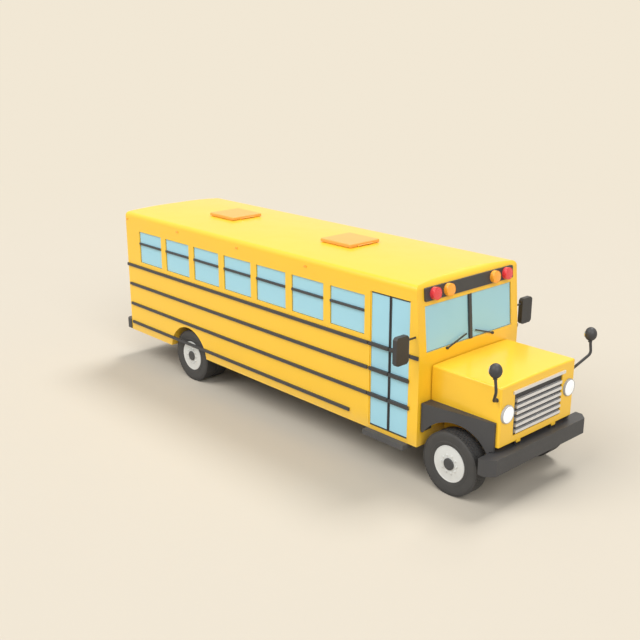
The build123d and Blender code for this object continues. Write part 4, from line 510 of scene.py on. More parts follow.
class Work:
    """A mesh in the making; every call adds a closed shape."""

    def __init__(self):
        self.mesh = bmesh.new()

    def bar(self, low, high, edge=0.0, steps=1):
        """A box between two corners, with softened edges."""
        low, high = Vector(low), Vector(high)
        place = Matrix.Translation((low + high) / 2) @ Matrix.Diagonal((*(high - low), 1))
        corners = bmesh.ops.create_cube(self.mesh, size=1, matrix=place)["verts"]
        if edge:
            edges = list({side for point in corners for side in point.link_edges})
            bmesh.ops.bevel(self.mesh, geom=edges, offset=edge, segments=steps, affect="EDGES")

    def skin(self, rings, joined=False):
        """Faces between rings of corners; a ring of one corner is a pole."""
        pairs = list(zip(rings, rings[1:]))
        if joined:
            pairs.append((rings[-1], rings[0]))
        for first, second in pairs:
            count = max(len(first), len(second))
            for n in range(count):
                m = (n + 1) % count
                order = ((first, n), (first, m), (second, m), (second, n))
                corners = list(dict.fromkeys(ring[k % len(ring)] for ring, k in order))
                if len(corners) > 2:
                    self.mesh.faces.new(corners)

    def turned(self, outline, centre, axis, steps=48, start=0.0):
        """An outline of (radius, distance along the axis), turned once round; it starts and ends on the axis
        or else closes on itself."""
        place = Matrix.Translation(centre) @ UP.rotation_difference(Vector(axis)).to_matrix().to_4x4()
        rings = []
        for radius, along in outline:
            count = steps if radius > ON_AXIS else 1
            turns = [start + 2 * pi * n / steps for n in range(count)]
            spots = [place @ Vector((radius * cos(turn), radius * sin(turn), along)) for turn in turns]
            rings.append([self.mesh.verts.new(spot) for spot in spots])
        self.skin(rings, joined=outline[0][0] > ON_AXIS)

    def tube(self, points, radius, sides=10, closed=False):
        """A round bar that follows points and is closed at both ends, or runs back to its start."""
        points = [Vector(point) for point in points]
        after = points[1:] + ([points[0]] if closed else [])
        runs = [(b - a).normalized() for a, b in zip(points, after)]
        if closed:
            ways = [(runs[n - 1] + runs[n]).normalized() for n in range(len(points))]
        else:
            ways = [runs[0]] + [(a + b).normalized() for a, b in zip(runs, runs[1:])] + [runs[-1]]
        side = ways[0].orthogonal().normalized()
        rings = []
        for point, way in zip(points, ways):
            side = (side - way * side.dot(way)).normalized()
            up = way.cross(side)
            turns = [2 * pi * n / sides for n in range(sides)]
            spots = [point + (side * cos(turn) + up * sin(turn)) * radius for turn in turns]
            rings.append([self.mesh.verts.new(spot) for spot in spots])
        if not closed:
            rings.insert(0, [self.mesh.verts.new(points[0])])
            rings.append([self.mesh.verts.new(points[-1])])
        self.skin(rings, joined=closed)

    def frame(self, low, high, wide, edge=0.0):
        """Four bars round a rectangular opening that one looks through along the bus."""
        for across, along in ((1, 2), (2, 1)):
            for near in (True, False):
                start, end = Vector(low), Vector(high)
                if near:
                    end[across] = start[across] + wide
                else:
                    start[across] = end[across] - wide
                if across == 2:
                    start[along] += wide
                    end[along] -= wide
                self.bar(start, end, edge)

    def close(self, name):
        """End the work: one mesh whose faces point outwards."""
        bmesh.ops.recalc_face_normals(self.mesh, faces=self.mesh.faces)
        mesh = bpy.data.meshes.new(name)
        self.mesh.to_mesh(mesh)
        self.mesh.free()
        return mesh


# %% Delivering a piece
PIECES = []


def deliver(name, work, body, finish, smooth=32):
    """Make the work a piece that rides on a body, in a finish, and add it to the list of pieces."""
    mesh = work.close(name)
    mesh.materials.clear()
    mesh.materials.append(finish)
    mesh.polygons.foreach_set("material_index", [0] * len(mesh.polygons))
    mesh.polygons.foreach_set("use_smooth", [True] * len(mesh.polygons))
    mesh.set_sharp_from_angle(angle=radians(smooth))
    piece = put(name, mesh)
    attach(piece, body)
    PIECES.append(piece)
    return piece


# %% Outlines for the lathe
def dome(radius, rise, steps=6):
    """A shallow dome on a flat seat."""
    bow = [(radius * cos(pi / 2 * n / steps), rise * sin(pi / 2 * n / steps)) for n in range(steps)]
    return [(0, 0)] + bow + [(0, rise)]


def rolled(inner, outer, deep):
    """A rolled ring."""
    return [(inner, 0), (outer, 0), (outer, deep * 0.6), ((inner + outer) / 2, deep), (inner, deep * 0.6)]


def band(inner, outer, start, end):
    """A flat ring or a strap."""
    return [(inner, start), (outer, start), (outer, end), (inner, end)]


def flange(wide, edge, narrow, deep):
    """A disc with a chamfered front."""
    return [(0, 0), (wide, 0), (wide, edge), (narrow, deep), (0, deep)]


# %% Rays that find a surface
FAR = 9


def touch(name, start, way):
    """The spot where a ray first meets a CAD node at rest."""
    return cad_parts[name].ray_cast(Vector(start), Vector(way))[1]


def front_of(name, y, z):
    return touch(name, (FAR, y, z), ASTERN)


def rear_of(name, y, z):
    return touch(name, (-FAR, y, z), AHEAD)


WALL_Y = corner("side_wall_left", True).y
TAIL_X = corner("roof").x
print("the side walls stand at y =", round(WALL_Y, 3), "and the rear wall at x =", round(TAIL_X, 3))

# %% [markdown]
# ## Patterns from Geometry Nodes
# Tread blocks, nuts, rivets and benches all repeat one shape by a rule, so each rule is a node tree with
# its sizes as named inputs. `Pattern.make` gives the inputs their values, lets Blender evaluate the tree
# once, and hands back a plain mesh with no modifier left on it.

# %% Pattern
class Pattern(Graph):
    """A Geometry Nodes tree with named sizes, evaluated into plain meshes."""

    def __init__(self, name):
        super().__init__(bpy.data.node_groups.new(name, "GeometryNodeTree"))
        self.tree.interface.new_socket("Geometry", in_out="OUTPUT", socket_type="NodeSocketGeometry")
        self.entry = self.tree.nodes.new("NodeGroupInput")
        self.leave = self.tree.nodes.new("NodeGroupOutput")
        self.inputs = {}

    def size(self, name, kind="Float"):
        """A named input, as a wire."""
        socket = self.tree.interface.new_socket(name, in_out="INPUT", socket_type="NodeSocket" + kind)
        self.inputs[name] = socket.identifier
        return Wire(self, self.entry.outputs[name])

    def circle(self, count, radius):
        """Points round z."""
        return self.node("GeometryNodeMeshCircle", values={"Vertices": count, "Radius": radius})

    def line(self, count, start, step):
        """Points one step apart."""
        return self.node("GeometryNodeMeshLine", {"mode": "OFFSET"}, {
            "Count": count, "Start Location": start, "Offset": step})

    def on_points(self, points, shape, **values):
        """The shape on every point."""
        values = {"Points": points, "Instance": shape, **values}
        return self.node("GeometryNodeInstanceOnPoints", values=values)

    def turn_to(self, geometry, centre, turn):
        """Geometry turned by angles and moved to a centre."""
        return self.node("GeometryNodeTransform", values={
            "Geometry": geometry, "Translation": centre, "Rotation": turn})

    def close(self, geometry):
        """End the tree: real meshes, in the finish that is asked for."""
        real = self.node("GeometryNodeRealizeInstances", values={0: geometry})
        self.feed(self.leave.inputs[0], self.node("GeometryNodeSetMaterial", values={
            "Geometry": real, "Material": self.size("Finish", "Material")}))

    def make(self, **sizes):
        """One evaluated copy of the pattern as a plain mesh."""
        holder = put("holder", bpy.data.meshes.new("holder"))
        modifier = holder.modifiers.new("pattern", "NODES")
        modifier.node_group = self.tree
        for name, value in sizes.items():
            modifier[self.inputs[name]] = value
        ready = holder.evaluated_get(bpy.context.evaluated_depsgraph_get())
        mesh = bpy.data.meshes.new_from_object(ready)
        bpy.data.objects.remove(holder)
        return mesh


# %% A ring of nuts
nut_ring = Pattern("nut_ring")
ring = nut_ring.circle(nut_ring.size("Count", "Int"), nut_ring.size("Ring"))
nut = nut_ring.node("GeometryNodeMeshCylinder", values={
    "Vertices": nut_ring.size("Flats", "Int"), "Radius": nut_ring.size("Radius"),
    "Depth": nut_ring.size("Depth")})
nuts = nut_ring.on_points(ring, nut)
nut_ring.close(nut_ring.turn_to(nuts, nut_ring.size("Centre", "Vector"), nut_ring.size("Turn", "Vector")))

# %% A row of rivet heads
rivet_row = Pattern("rivet_row")
line = rivet_row.line(
    rivet_row.size("Count", "Int"), rivet_row.size("Start", "Vector"), rivet_row.size("Step", "Vector"))
head = rivet_row.node("GeometryNodeMeshIcoSphere", values={"Radius": 1.0, "Subdivisions": 2})
rivet_row.close(rivet_row.on_points(line, head, Scale=rivet_row.size("Size", "Vector")))

# %% Copies of a finished piece, set along a line
copies = Pattern("copies")
line = copies.line(copies.size("Count", "Int"), (0.0, 0.0, 0.0), copies.size("Step", "Vector"))
piece = copies.size("Piece", "Object")
original = copies.node("GeometryNodeObjectInfo", values={"Object": piece}, out="Geometry")
copies.close(copies.on_points(line, original))
print("patterns:", [pattern.tree.name for pattern in (nut_ring, rivet_row, copies)])

# %% [markdown]
# ## Tyres
# A bus tyre has a rib pattern: five bands of blocks with straight grooves between them, each band set half
# a block on from its neighbour. The carcass is turned from one outline, and the blocks are a tree: a circle
# of points, a block on each point turned to face outwards, and the circle repeated across the tread.

# %% Tread pattern
tread = Pattern("tread")
blocks = tread.size("Blocks", "Int")
rows = tread.size("Rows", "Int")
radius = tread.size("Radius")
pitch = tread.size("Pitch")
spot = tread.node("GeometryNodeInputPosition")
outwards = tread.node("FunctionNodeAlignRotationToVector", {"axis": "X"}, {"Vector": spot})
block = tread.node("GeometryNodeMeshCube", values={"Size": tread.size("Block", "Vector")})
one_band = tread.on_points(tread.circle(blocks, radius), block, Rotation=outwards)
across = tread.node("ShaderNodeCombineXYZ", values={"Z": pitch})
first = tread.node("ShaderNodeCombineXYZ", values={"Z": pitch * (rows - 1) * -0.5})
shift = tread.node("ShaderNodeCombineXYZ", values={"Z": tread.node("GeometryNodeInputIndex") * (pi / blocks)})
bands = tread.on_points(tread.line(rows, first, across), one_band, Rotation=shift)
tread.close(tread.turn_to(bands, tread.size("Centre", "Vector"), tread.size("Turn", "Vector")))
print("tread inputs:", list(tread.inputs))

# %% Which tyres stand where
# body, tyre node, axle, width of one tyre, how far in from the outer face each tyre starts, rubber
AXLES = [
    ("front_wheel", "front_tyre", FRONT_AXLE_X, 0.280, (0.0,), front_rubber),
    ("rear_wheels", "rear_tyres", REAR_AXLE_X, 0.250, (0.0, 0.290), rear_rubber),
]
# radius, how far in from the tyre's widest face: bead, raised ring, sidewall, shoulder
TYRE_PROFILE = [
    (0.2905, 0.030), (0.2945, 0.010), (0.3045, 0.004), (0.335, 0.0045), (0.339, 0.0010), (0.352, 0.0010),
    (0.356, 0.0045), (0.400, 0.0005), (0.440, 0.0005), (0.470, 0.0030), (0.486, 0.0080), (0.4965, 0.0200),
]
TYRE_FACE = WALL_Y - 0.060


def carcass(width):
    """Outline of a tyre from one bead round the tread to the other: (radius, across)."""
    side = [(radius, width / 2 - inset) for radius, inset in TYRE_PROFILE]
    return side + [(radius, -across) for radius, across in reversed(side)]


# %% Tyres on every wheel
BLOCK_HIGH, BLOCK_LONG = 0.016, 0.0475
BLOCK_COUNT, BAND_COUNT = 60, 5
TREAD_MARGIN, GROOVE = 0.018, 0.007
TREAD_RADIUS = AXLE_Z - BLOCK_HIGH / 2 - 0.0006
QUARTER_TURN = (pi / 2, 0.0, 0.0)

for side in SIDES:
    for wheels, tyres, axle_x, width, starts, rubber in AXLES:
        work = Work()
        band_pitch = (width - TREAD_MARGIN) / BAND_COUNT
        for inward in starts:
            middle = (axle_x, side * (TYRE_FACE - inward - width / 2), AXLE_Z)
            work.turned(carcass(width), middle, (0, 1, 0), 120)
            work.mesh.from_mesh(tread.make(
                Blocks=BLOCK_COUNT, Rows=BAND_COUNT, Radius=TREAD_RADIUS, Pitch=band_pitch,
                Block=(BLOCK_HIGH, BLOCK_LONG, band_pitch - GROOVE), Centre=middle, Turn=QUARTER_TURN,
                Finish=rubber))
        node = f"{tyres}_{SIDES[side]}"
        tyre = deliver(f"treaded_{node}", work, f"{SIDES[side]}_{wheels}", rubber)
        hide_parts(node)
print("the last tyre piece has", len(tyre.data.polygons), "faces")

# %% [markdown]
# ## Wheel trim
# Ten nuts hold each wheel on a standard circle. A dark cap covers the hub, and the rim's edge is rolled
# outwards, which gives the disc its bright outline. The caps are turned, and one tree makes both rings of
# nuts.

# %% Hub caps, rims and nuts
NUT_COUNT = 10
NUT_RING = 0.1429
DISC_INSET = 0.012
CAP_OUTLINE = [
    (0, 0.004), (0.0935, 0.004), (0.0935, 0.017), (0.088, 0.0225), (0.052, 0.026), (0.048, 0.0235),
    (0.020, 0.0235), (0, 0.0235)]
RIM_OUTLINE = [
    (0.272, -0.004), (0.272, 0.0015), (0.279, 0.0055), (0.286, 0.0055), (0.289, 0.002), (0.289, -0.004)]
# flats, radius and depth of the nut, then of the stud that looks out of it
NUT_PARTS = [(6, 0.0165, 0.030), (12, 0.0090, 0.046)]

for side in SIDES:
    for wheels, _, axle_x, *_ in AXLES:
        body = f"{SIDES[side]}_{wheels}"
        centre, out = (axle_x, side * (TYRE_FACE - DISC_INSET), AXLE_Z), (0, side, 0)
        cap, trim = Work(), Work()
        cap.turned(CAP_OUTLINE, centre, out, 48)
        deliver(f"hub_cap_{body}", cap, body, cap_plastic)
        trim.turned(RIM_OUTLINE, centre, out, 96)
        for flats, radius, depth in NUT_PARTS:
            trim.mesh.from_mesh(nut_ring.make(
                Count=NUT_COUNT, Ring=NUT_RING, Flats=flats, Radius=radius, Depth=depth, Centre=centre,
                Turn=QUARTER_TURN, Finish=wheel_paint))
        deliver(f"rim_and_nuts_{body}", trim, body, wheel_paint)
print(NUT_COUNT, "nuts a wheel on a circle", 2 * NUT_RING, "m across")

# %% [markdown]
# ## Rivets and rail bolts
# The body is sheet steel riveted to bows, and each rub rail is bolted through to them. A head is a small
# ball squashed flat, sunk to its middle in the sheet, and a tree repeats it along a line.

# %% Rivets and rail bolts
# out from the wall, radius, distance apart
RIVET = (0.0, 0.0055, 0.105)
BOLT = (0.028, 0.0085, 0.236)
HEAD_FLAT = 0.45
SEAM_Z = corner("roof").z
SEAM_HALF = 0.022
SKIRT_Z = 0.650
CAB_X = corner("front_wall", True).x - 0.13
DOOR_X = CAB_X - 1.02
# height, rear end, front end, kind of head
ROWS = [
    (SEAM_Z + SEAM_HALF, TAIL_X + 0.10, CAB_X, RIVET),
    (SEAM_Z - SEAM_HALF, TAIL_X + 0.10, DOOR_X, RIVET),
    (SKIRT_Z, TAIL_X + 0.12, TAIL_X + 1.40, RIVET),
    (SKIRT_Z, TAIL_X + 2.76, CAB_X - 1.10, RIVET),
    (2.034, TAIL_X + 0.06, DOOR_X, BOLT),
    (1.625, TAIL_X + 0.12, DOOR_X, BOLT),
    (1.192, TAIL_X + 0.12, DOOR_X, BOLT),
    (0.782, TAIL_X + 0.13, CAB_X - 1.50, BOLT),
]
wall_rivets, rail_bolts = Work(), Work()
for height, rear, front, (out, radius, apart) in ROWS:
    work = rail_bolts if out else wall_rivets
    for side in SIDES:
        work.mesh.from_mesh(rivet_row.make(
            Count=int((front - rear) / apart), Start=(rear, side * (WALL_Y + out), height),
            Step=(apart, 0.0, 0.0), Size=(radius, radius * HEAD_FLAT, radius), Finish=coach_paint))
deliver("wall_rivets", wall_rivets, "coach", coach_paint, 80)
deliver("rail_bolts", rail_bolts, "coach", charcoal, 80)
print(len(ROWS) * 2, "rows of heads")

# %% [markdown]
# ## Lamps
# A signal lamp is a pot with a shallow domed lens held by a rolled ring. The four front flashers sit on a
# panel that leans with the cab, so their axis leans too, and the four at the rear face straight back. A ray
# finds each lamp's face, and the lathe sets lens and ring on it. A headlamp has a wider grey ring, which
# shows as its outline, and a tail lamp is framed by four small bars.

# %% Flashers
CAB_LEAN = 0.09
RAKED = Vector((1, 0, CAB_LEAN)).normalized()
FLASHER_RADIUS, FLASHER_Z, FLASHER_DEEP = 0.098, 2.975, 0.100
FLASHER_DOME = dome(FLASHER_RADIUS - 0.007, 0.012)
FLASHER_RIM = rolled(FLASHER_RADIUS - 0.006, FLASHER_RADIUS - HAIR, 0.005)
# colour, finish, distance from the bus's middle
FLASHERS = [("red", red_lens, 0.875), ("amber", amber_lens, 0.56)]

for colour, finish, across in FLASHERS:
    lenses = Work()
    for side in SIDES:
        back = front_of(f"{colour}_lamps", side * across, FLASHER_Z) - Vector((FLASHER_DEEP / RAKED.x, 0, 0))
        front_face = back + RAKED * FLASHER_DEEP
        rear_face = rear_of(f"{colour}_lamps", side * across, FLASHER_Z)
        for face, axis in ((front_face, RAKED), (rear_face, ASTERN)):
            lenses.turned(FLASHER_DOME, face - axis * HAIR, axis, 40)
            lenses.turned(FLASHER_RIM, face, axis, 40)
    deliver(f"{colour}_flasher_lenses", lenses, "coach", finish)
print("flashers lean", round(atan2(CAB_LEAN, 1), 3), "rad back with the cab")

# %% Headlamps
HEADLAMP_Y, HEADLAMP_Z, HEADLAMP_RADIUS = 0.783, 1.434, 0.125
HEADLAMP_DOME = dome(HEADLAMP_RADIUS - 0.003, 0.014, 8)
RIM_INNER, RIM_LIP, RIM_OUTER = [HEADLAMP_RADIUS + more for more in (0.001, 0.009, 0.017)]
RIM_PROUD = 0.003
head_lenses, head_rims = Work(), Work()
for side in SIDES:
    face, seat = [front_of(name, side * HEADLAMP_Y, HEADLAMP_Z) for name in ("headlamps", "hood")]
    head_lenses.turned(HEADLAMP_DOME, face - AHEAD * HAIR, AHEAD, 64)
    deep = face.x - seat.x
    front = deep + RIM_PROUD
    rim = [(RIM_INNER, 0), (RIM_OUTER, 0), (RIM_OUTER, deep * 0.5), (RIM_LIP, front), (RIM_INNER, front)]
    head_rims.turned(rim, seat, AHEAD, 64)
deliver("headlamp_lenses", head_lenses, "hood_and_fenders", white_lens)
deliver("headlamp_rims", head_rims, "hood_and_fenders", rim_grey)
print("headlamps stand", round(deep, 3), "m out from the hood")

# %% Frames of the tail lamps
TAIL_INNER, TAIL_OUTER = 0.975, 1.145
TAIL_LAMPS = [(1.42, 1.54), (1.28, 1.40)]
BEZEL, BEZEL_PROUD, BEZEL_EDGE = 0.007, 0.004, 0.0015
tail_face = rear_of("red_lamps", 1.06, 1.48).x
rings = Work()
for side in SIDES:
    near, far = sorted((side * (TAIL_INNER - BEZEL), side * (TAIL_OUTER + BEZEL)))
    for low, high in TAIL_LAMPS:
        start, end = (tail_face - BEZEL_PROUD, near, low - BEZEL), (TAIL_X, far, high + BEZEL)
        rings.frame(start, end, BEZEL, BEZEL_EDGE)
deliver("lamp_rings", rings, "coach", dark_trim)
print(len(TAIL_LAMPS), "framed lamps on each side of the tail")

# %% [markdown]
# ## Mirrors
# The two mirrors beside the cab are flat glass over a small wide-angle one, in a dark shell. The two ahead
# of the hood are egg-shaped heads on bent tubes, with a convex glass that faces the driver. The tube keeps
# the path of the CAD stalk, but with round bends, as a tube bender leaves them.

# %% Bent paths
def rounded(points, reach, steps=6):
    """A path whose inner corners are replaced by smooth bends that start and end a reach away."""
    points = [Vector(point) for point in points]
    path = [points[0]]
    for before, bend, after in zip(points, points[1:], points[2:]):
        begin = bend + (before - bend).normalized() * reach
        end = bend + (after - bend).normalized() * reach
        for n in range(steps + 1):
            t = n / steps
            path.append(begin * (1 - t) ** 2 + bend * (2 * t * (1 - t)) + end * t ** 2)
    return path + [points[-1]]


# %% Crossview mirrors
HOOD_FRONT = front_of("hood", 0.62, HEADLAMP_Z).x
HOOD_SIDE = corner("hood", True).y
HEAD = Vector((HOOD_FRONT + 0.066, HOOD_SIDE + 0.266, 2.22))
HEAD_RADIUS, HEAD_HIGH = 0.095, 0.22
STALK_RADIUS, STALK_BEND, STALK_INTO_HEAD = 0.022, 0.055, HEAD_HIGH * 0.4
STALK_FOOT = Vector((HOOD_FRONT - 0.074, HOOD_SIDE + 0.001, 1.67))
STALK_OUT = HOOD_SIDE + 0.080
STALK_KNEE = Vector((HOOD_FRONT + 0.096, HEAD.y, 1.91))
STALK_FLANGE = flange(0.032, 0.005, 0.026, 0.010)
SLEEVE, SLEEVE_DOWN = [(0, 0), (0.034, 0.012), (0.030, 0.034), (0, 0.034)], 0.140
HEAD_GLASS, GLASS_BACK = dome(0.0815, 0.047, 8), 0.052
EGG_STEPS = 14
turns = [pi * n / EGG_STEPS for n in range(1, EGG_STEPS)]
egg = [(HEAD_RADIUS * sin(turn), -HEAD_HIGH / 2 * cos(turn)) for turn in turns]
egg = [(0, -HEAD_HIGH / 2)] + egg + [(0, HEAD_HIGH / 2)]
heads, glasses = Work(), Work()
for side in SIDES:
    head, foot, knee = [Vector((spot.x, side * spot.y, spot.z)) for spot in (HEAD, STALK_FOOT, STALK_KNEE)]
    heads.turned(egg, head, UP, 40)
    stalk = [foot, (foot.x, side * STALK_OUT, foot.z), knee, head - UP * STALK_INTO_HEAD]
    heads.tube(rounded(stalk, STALK_BEND), STALK_RADIUS, 14)
    heads.turned(STALK_FLANGE, foot, (0, side, 0), 24)
    heads.turned(SLEEVE, head - UP * SLEEVE_DOWN, UP, 20)
    glasses.turned(HEAD_GLASS, head - AHEAD * GLASS_BACK, ASTERN, 40)
crossview = deliver("crossview_heads", heads, "hood_and_fenders", dark_trim, 40)
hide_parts("crossview_mirrors")
deliver("crossview_glass", glasses, "hood_and_fenders", mirror_silver)
print("crossview heads stand", round(HEAD.x - HOOD_FRONT, 3), "m ahead of the hood")

# %% Mirrors beside the cab
MIRROR_Y, MIRROR_Z, MIRROR_HALF = 1.535, 2.22, 0.115
# low and high edge of the flat glass, then of the wide-angle glass below it
MIRROR_PANES = [(-0.060, 0.190), (-0.190, -0.072)]
MIRROR_EDGE = 0.0015
shell_back = corner("side_mirrors").x
glass_back, glass_front = shell_back - 0.004, shell_back + 0.001
side_glass = Work()
for side in SIDES:
    y = side * MIRROR_Y
    for low, high in MIRROR_PANES:
        side_glass.bar((glass_back, y - MIRROR_HALF, MIRROR_Z + low),
                       (glass_front, y + MIRROR_HALF, MIRROR_Z + high), MIRROR_EDGE)
deliver("side_mirror_glass", side_glass, "coach", mirror_silver)
print(len(MIRROR_PANES), "panes in each mirror")

# %% [markdown]
# ## Seals
# Every pane is held by a rubber strip, and the same strip is a thin tube that runs round the pane's
# corners. The corners come from the openings of the walls. The windscreen's are found by rays, because it
# leans. Between the door leaves stands a soft bar on each meeting edge.

# %% Window seals
SEAL_RADIUS = 0.003
PANE_WIDE = 0.785
WINDOW_LOW, WINDOW_HIGH = 2.142 + SEAL_RADIUS, 2.786 - SEAL_RADIUS
WINDOW_FIRST, WINDOW_PITCH, WINDOW_COUNT = 0.874, 0.945, 7
DRIVER_WINDOW = 7.44
REAR_INNER, REAR_OUTER = 0.5 + SEAL_RADIUS, 1.02 - SEAL_RADIUS
SCREEN_INNER, SCREEN_OUTER, SCREEN_LOW, SCREEN_HIGH = 0.040, 1.047, 2.092, 2.793


def seal(work, start, end):
    """A strip round an upright pane, from a low corner to the high corner at its other end."""
    (x, y, low), (far_x, far_y, high) = start, end
    work.tube([(x, y, low), (far_x, far_y, low), (far_x, far_y, high), (x, y, high)], SEAL_RADIUS, 6, True)


pane_half = PANE_WIDE / 2 - SEAL_RADIUS
pane_rear, pane_side = corner("window_glass").x, corner("window_glass", True).y
window_seals = Work()
for side in SIDES:
    middles = [WINDOW_FIRST + WINDOW_PITCH * n for n in range(WINDOW_COUNT)] + [DRIVER_WINDOW] * (side > 0)
    for middle in middles:
        rear, front = TAIL_X + middle - pane_half, TAIL_X + middle + pane_half
        seal(window_seals, (rear, side * pane_side, WINDOW_LOW), (front, side * pane_side, WINDOW_HIGH))
    inner, outer = side * REAR_INNER, side * REAR_OUTER
    seal(window_seals, (pane_rear, inner, WINDOW_LOW), (pane_rear, outer, WINDOW_HIGH))
    screen = [(SCREEN_INNER, SCREEN_LOW), (SCREEN_OUTER, SCREEN_LOW), (SCREEN_OUTER, SCREEN_HIGH),
              (SCREEN_INNER, SCREEN_HIGH)]
    screen = [front_of("window_glass", side * across, height) for across, height in screen]
    window_seals.tube(screen, SEAL_RADIUS, 6, True)
deliver("window_seals", window_seals, "coach", seal_rubber)
print("seals round", WINDOW_COUNT * 2 + 1, "side windows")

# %% Seals on the doors
EXIT_HALF = 0.2445
EXIT_PANES = [(1.4255, 1.8945), (2.1255, 2.6945)]
exit_x = corner("emergency_glass").x
exit_seals = Work()
for low, high in EXIT_PANES:
    seal(exit_seals, (exit_x, -EXIT_HALF, low), (exit_x, EXIT_HALF, high))
deliver("exit_pane_seals", exit_seals, "exit_door", seal_rubber)

MEETING_SEAL = 0.005
LEAF_OUTER, LEAF_LOW, LEAF_HIGH = -1.208, 0.680, 2.864
leaf_inner = corner("door_leaf_front", True).y - 0.004
MEETING = [("front", corner("door_leaf_front").x, -1), ("rear", corner("door_leaf_rear", True).x, 1)]
for part, meeting, way in MEETING:
    low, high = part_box(f"door_glass_{part}")
    leaf_seals = Work()
    seal(leaf_seals, low, (high.x, low.y, high.z))
    rear, front = sorted((meeting, meeting + way * MEETING_SEAL))
    leaf_seals.bar((rear, LEAF_OUTER, LEAF_LOW), (front, leaf_inner, LEAF_HIGH), SOFT)
    deliver(f"{part}_leaf_seals", leaf_seals, f"door_{part}_leaf", seal_rubber)
print("the meeting seals fill", 2 * MEETING_SEAL, "m between the leaves")

# %% [markdown]
# ## Arch edges, drip rail and exit door surround
# The rear wheel openings have a rolled edge, which stiffens the sheet and catches the light. A drip rail
# keeps rain off the exit door, and a dark rubber surround closes the gap round it.

# %% Arch edges, drip rail and exit door surround
ARCH_RADIUS, ARCH_FOOT, ARCH_EDGE, ARCH_STEPS = 0.600, 0.604, 0.007, 40
DRIP_HALF, DRIP_LOW, DRIP_HIGH, DRIP_OUT, DRIP_EDGE = 0.42, 2.822, 2.834, 0.016, 0.004
EXIT_DOOR_HALF, EXIT_DOOR_LOW, EXIT_DOOR_HIGH = 0.366, 1.176, 2.816
SURROUND_WIDE, SURROUND_OUT, SURROUND_EDGE = 0.012, 0.003, 0.001
SUNK_IN_WALL = 0.001
arches = Work()
foot_turn = atan2(ARCH_FOOT - AXLE_Z, ARCH_RADIUS)
turns = [foot_turn + (pi - 2 * foot_turn) * n / ARCH_STEPS for n in range(ARCH_STEPS + 1)]
for side in SIDES:
    y = side * (WALL_Y - SUNK_IN_WALL)
    arc = [(REAR_AXLE_X + ARCH_RADIUS * cos(turn), y, AXLE_Z + ARCH_RADIUS * sin(turn)) for turn in turns]
    arches.tube(arc, ARCH_EDGE, 8)
arches.bar((TAIL_X - DRIP_OUT, -DRIP_HALF, DRIP_LOW),
           (TAIL_X + 2 * SUNK_IN_WALL, DRIP_HALF, DRIP_HIGH), DRIP_EDGE)
deliver("arch_edges_and_drip_rail", arches, "coach", coach_paint)

surround = Work()
surround.frame((TAIL_X - SURROUND_OUT, -EXIT_DOOR_HALF, EXIT_DOOR_LOW),
               (TAIL_X + SUNK_IN_WALL, EXIT_DOOR_HALF, EXIT_DOOR_HIGH), SURROUND_WIDE, SURROUND_EDGE)
deliver("exit_door_surround", surround, "coach", seal_rubber)
print("the arches start", round(ARCH_FOOT, 3), "m above the road")

# %% [markdown]
# ## Stop sign border
# The sign is a red octagon with a pale border on both faces. A ring that is turned in only eight steps is
# an octagon, so the lathe makes the border too.

# %% Stop sign border
SIGN_X, SIGN_Z, SIGN_FLAT = 2.0525, 1.83, 0.225
BORDER_OUT, BORDER_IN, BORDER_THICK = 0.006, 0.024, 0.0008
to_corner = 1 / cos(pi / 8)
border = Work()
for way in (1, -1):
    face = touch("stop_arm", (SIGN_X, way * FAR, SIGN_Z), (0, -way, 0))
    outline = band((SIGN_FLAT - BORDER_IN) * to_corner, (SIGN_FLAT - BORDER_OUT) * to_corner, 0, BORDER_THICK)
    border.turned(outline, face, (0, way, 0), 8, pi / 8)
deliver("stop_sign_border", border, "stop_sign", border_paint)
print("the sign is", round(2 * SIGN_FLAT * to_corner, 3), "m from corner to corner")

# %% [markdown]
# ## Benches
# A school bench is foam under a vinyl cover, on a frame of bent steel tube. The foam's swell is best got
# from a cloth simulation: a block a little smaller than the cushion is inflated, and no point may move
# further than a limit. One cushion and one back for each side of the aisle are enough, because every bench
# is the same, and Geometry Nodes sets out the rows.

# %% Padding
PRESSURE = 4
SWELL_FRAMES = 20
SWELL_LIMIT = 0.012


def plain_mesh(holder):
    """What a holder looks like with its modifiers, as a new mesh."""
    bpy.context.view_layer.update()
    return bpy.data.meshes.new_from_object(holder.evaluated_get(bpy.context.evaluated_depsgraph_get()))


def padding(work, voxel):
    """A holder with a soft pad, inflated from the work's shape."""
    holder = put("pad", work.close("pad"))
    remesh = holder.modifiers.new("remesh", "REMESH")
    remesh.mode = "VOXEL"
    remesh.voxel_size = voxel
    even = plain_mesh(holder)
    holder.modifiers.clear()
    holder.data = even
    before = [point.co.copy() for point in even.vertices]
    cloth = holder.modifiers.new("cloth", "CLOTH")
    cloth.settings.use_pressure = True
    cloth.settings.uniform_pressure_force = PRESSURE
    cloth.settings.effector_weights.gravity = 0
    for number in range(1, SWELL_FRAMES + 1):
        bpy.context.scene.frame_set(number)
    swollen = plain_mesh(holder)
    bpy.context.scene.frame_set(1)
    holder.modifiers.clear()
    for point, rest in zip(swollen.vertices, before):
        move = point.co - rest
        if move.length > SWELL_LIMIT:
            point.co = rest + move.normalized() * SWELL_LIMIT
    holder.data = swollen
    finer = holder.modifiers.new("finer", "SUBSURF")
    finer.levels = finer.render_levels = 1
    smooth = plain_mesh(holder)
    holder.modifiers.clear()
    holder.data = smooth
    return holder


# %% Blocks of foam
SEAT_TOP, CUSHION, BACK_TOP, BACK_THICK, BACK_LEAN = 1.60, 0.12, 2.26, 0.10, 0.06
PAD_GAP, SEAT_EDGE, BACK_EDGE = 0.010, 0.035, 0.034
FLOOR_TOP = corner("floor", True).z
SEAT_FOOT = SEAT_TOP - CUSHION


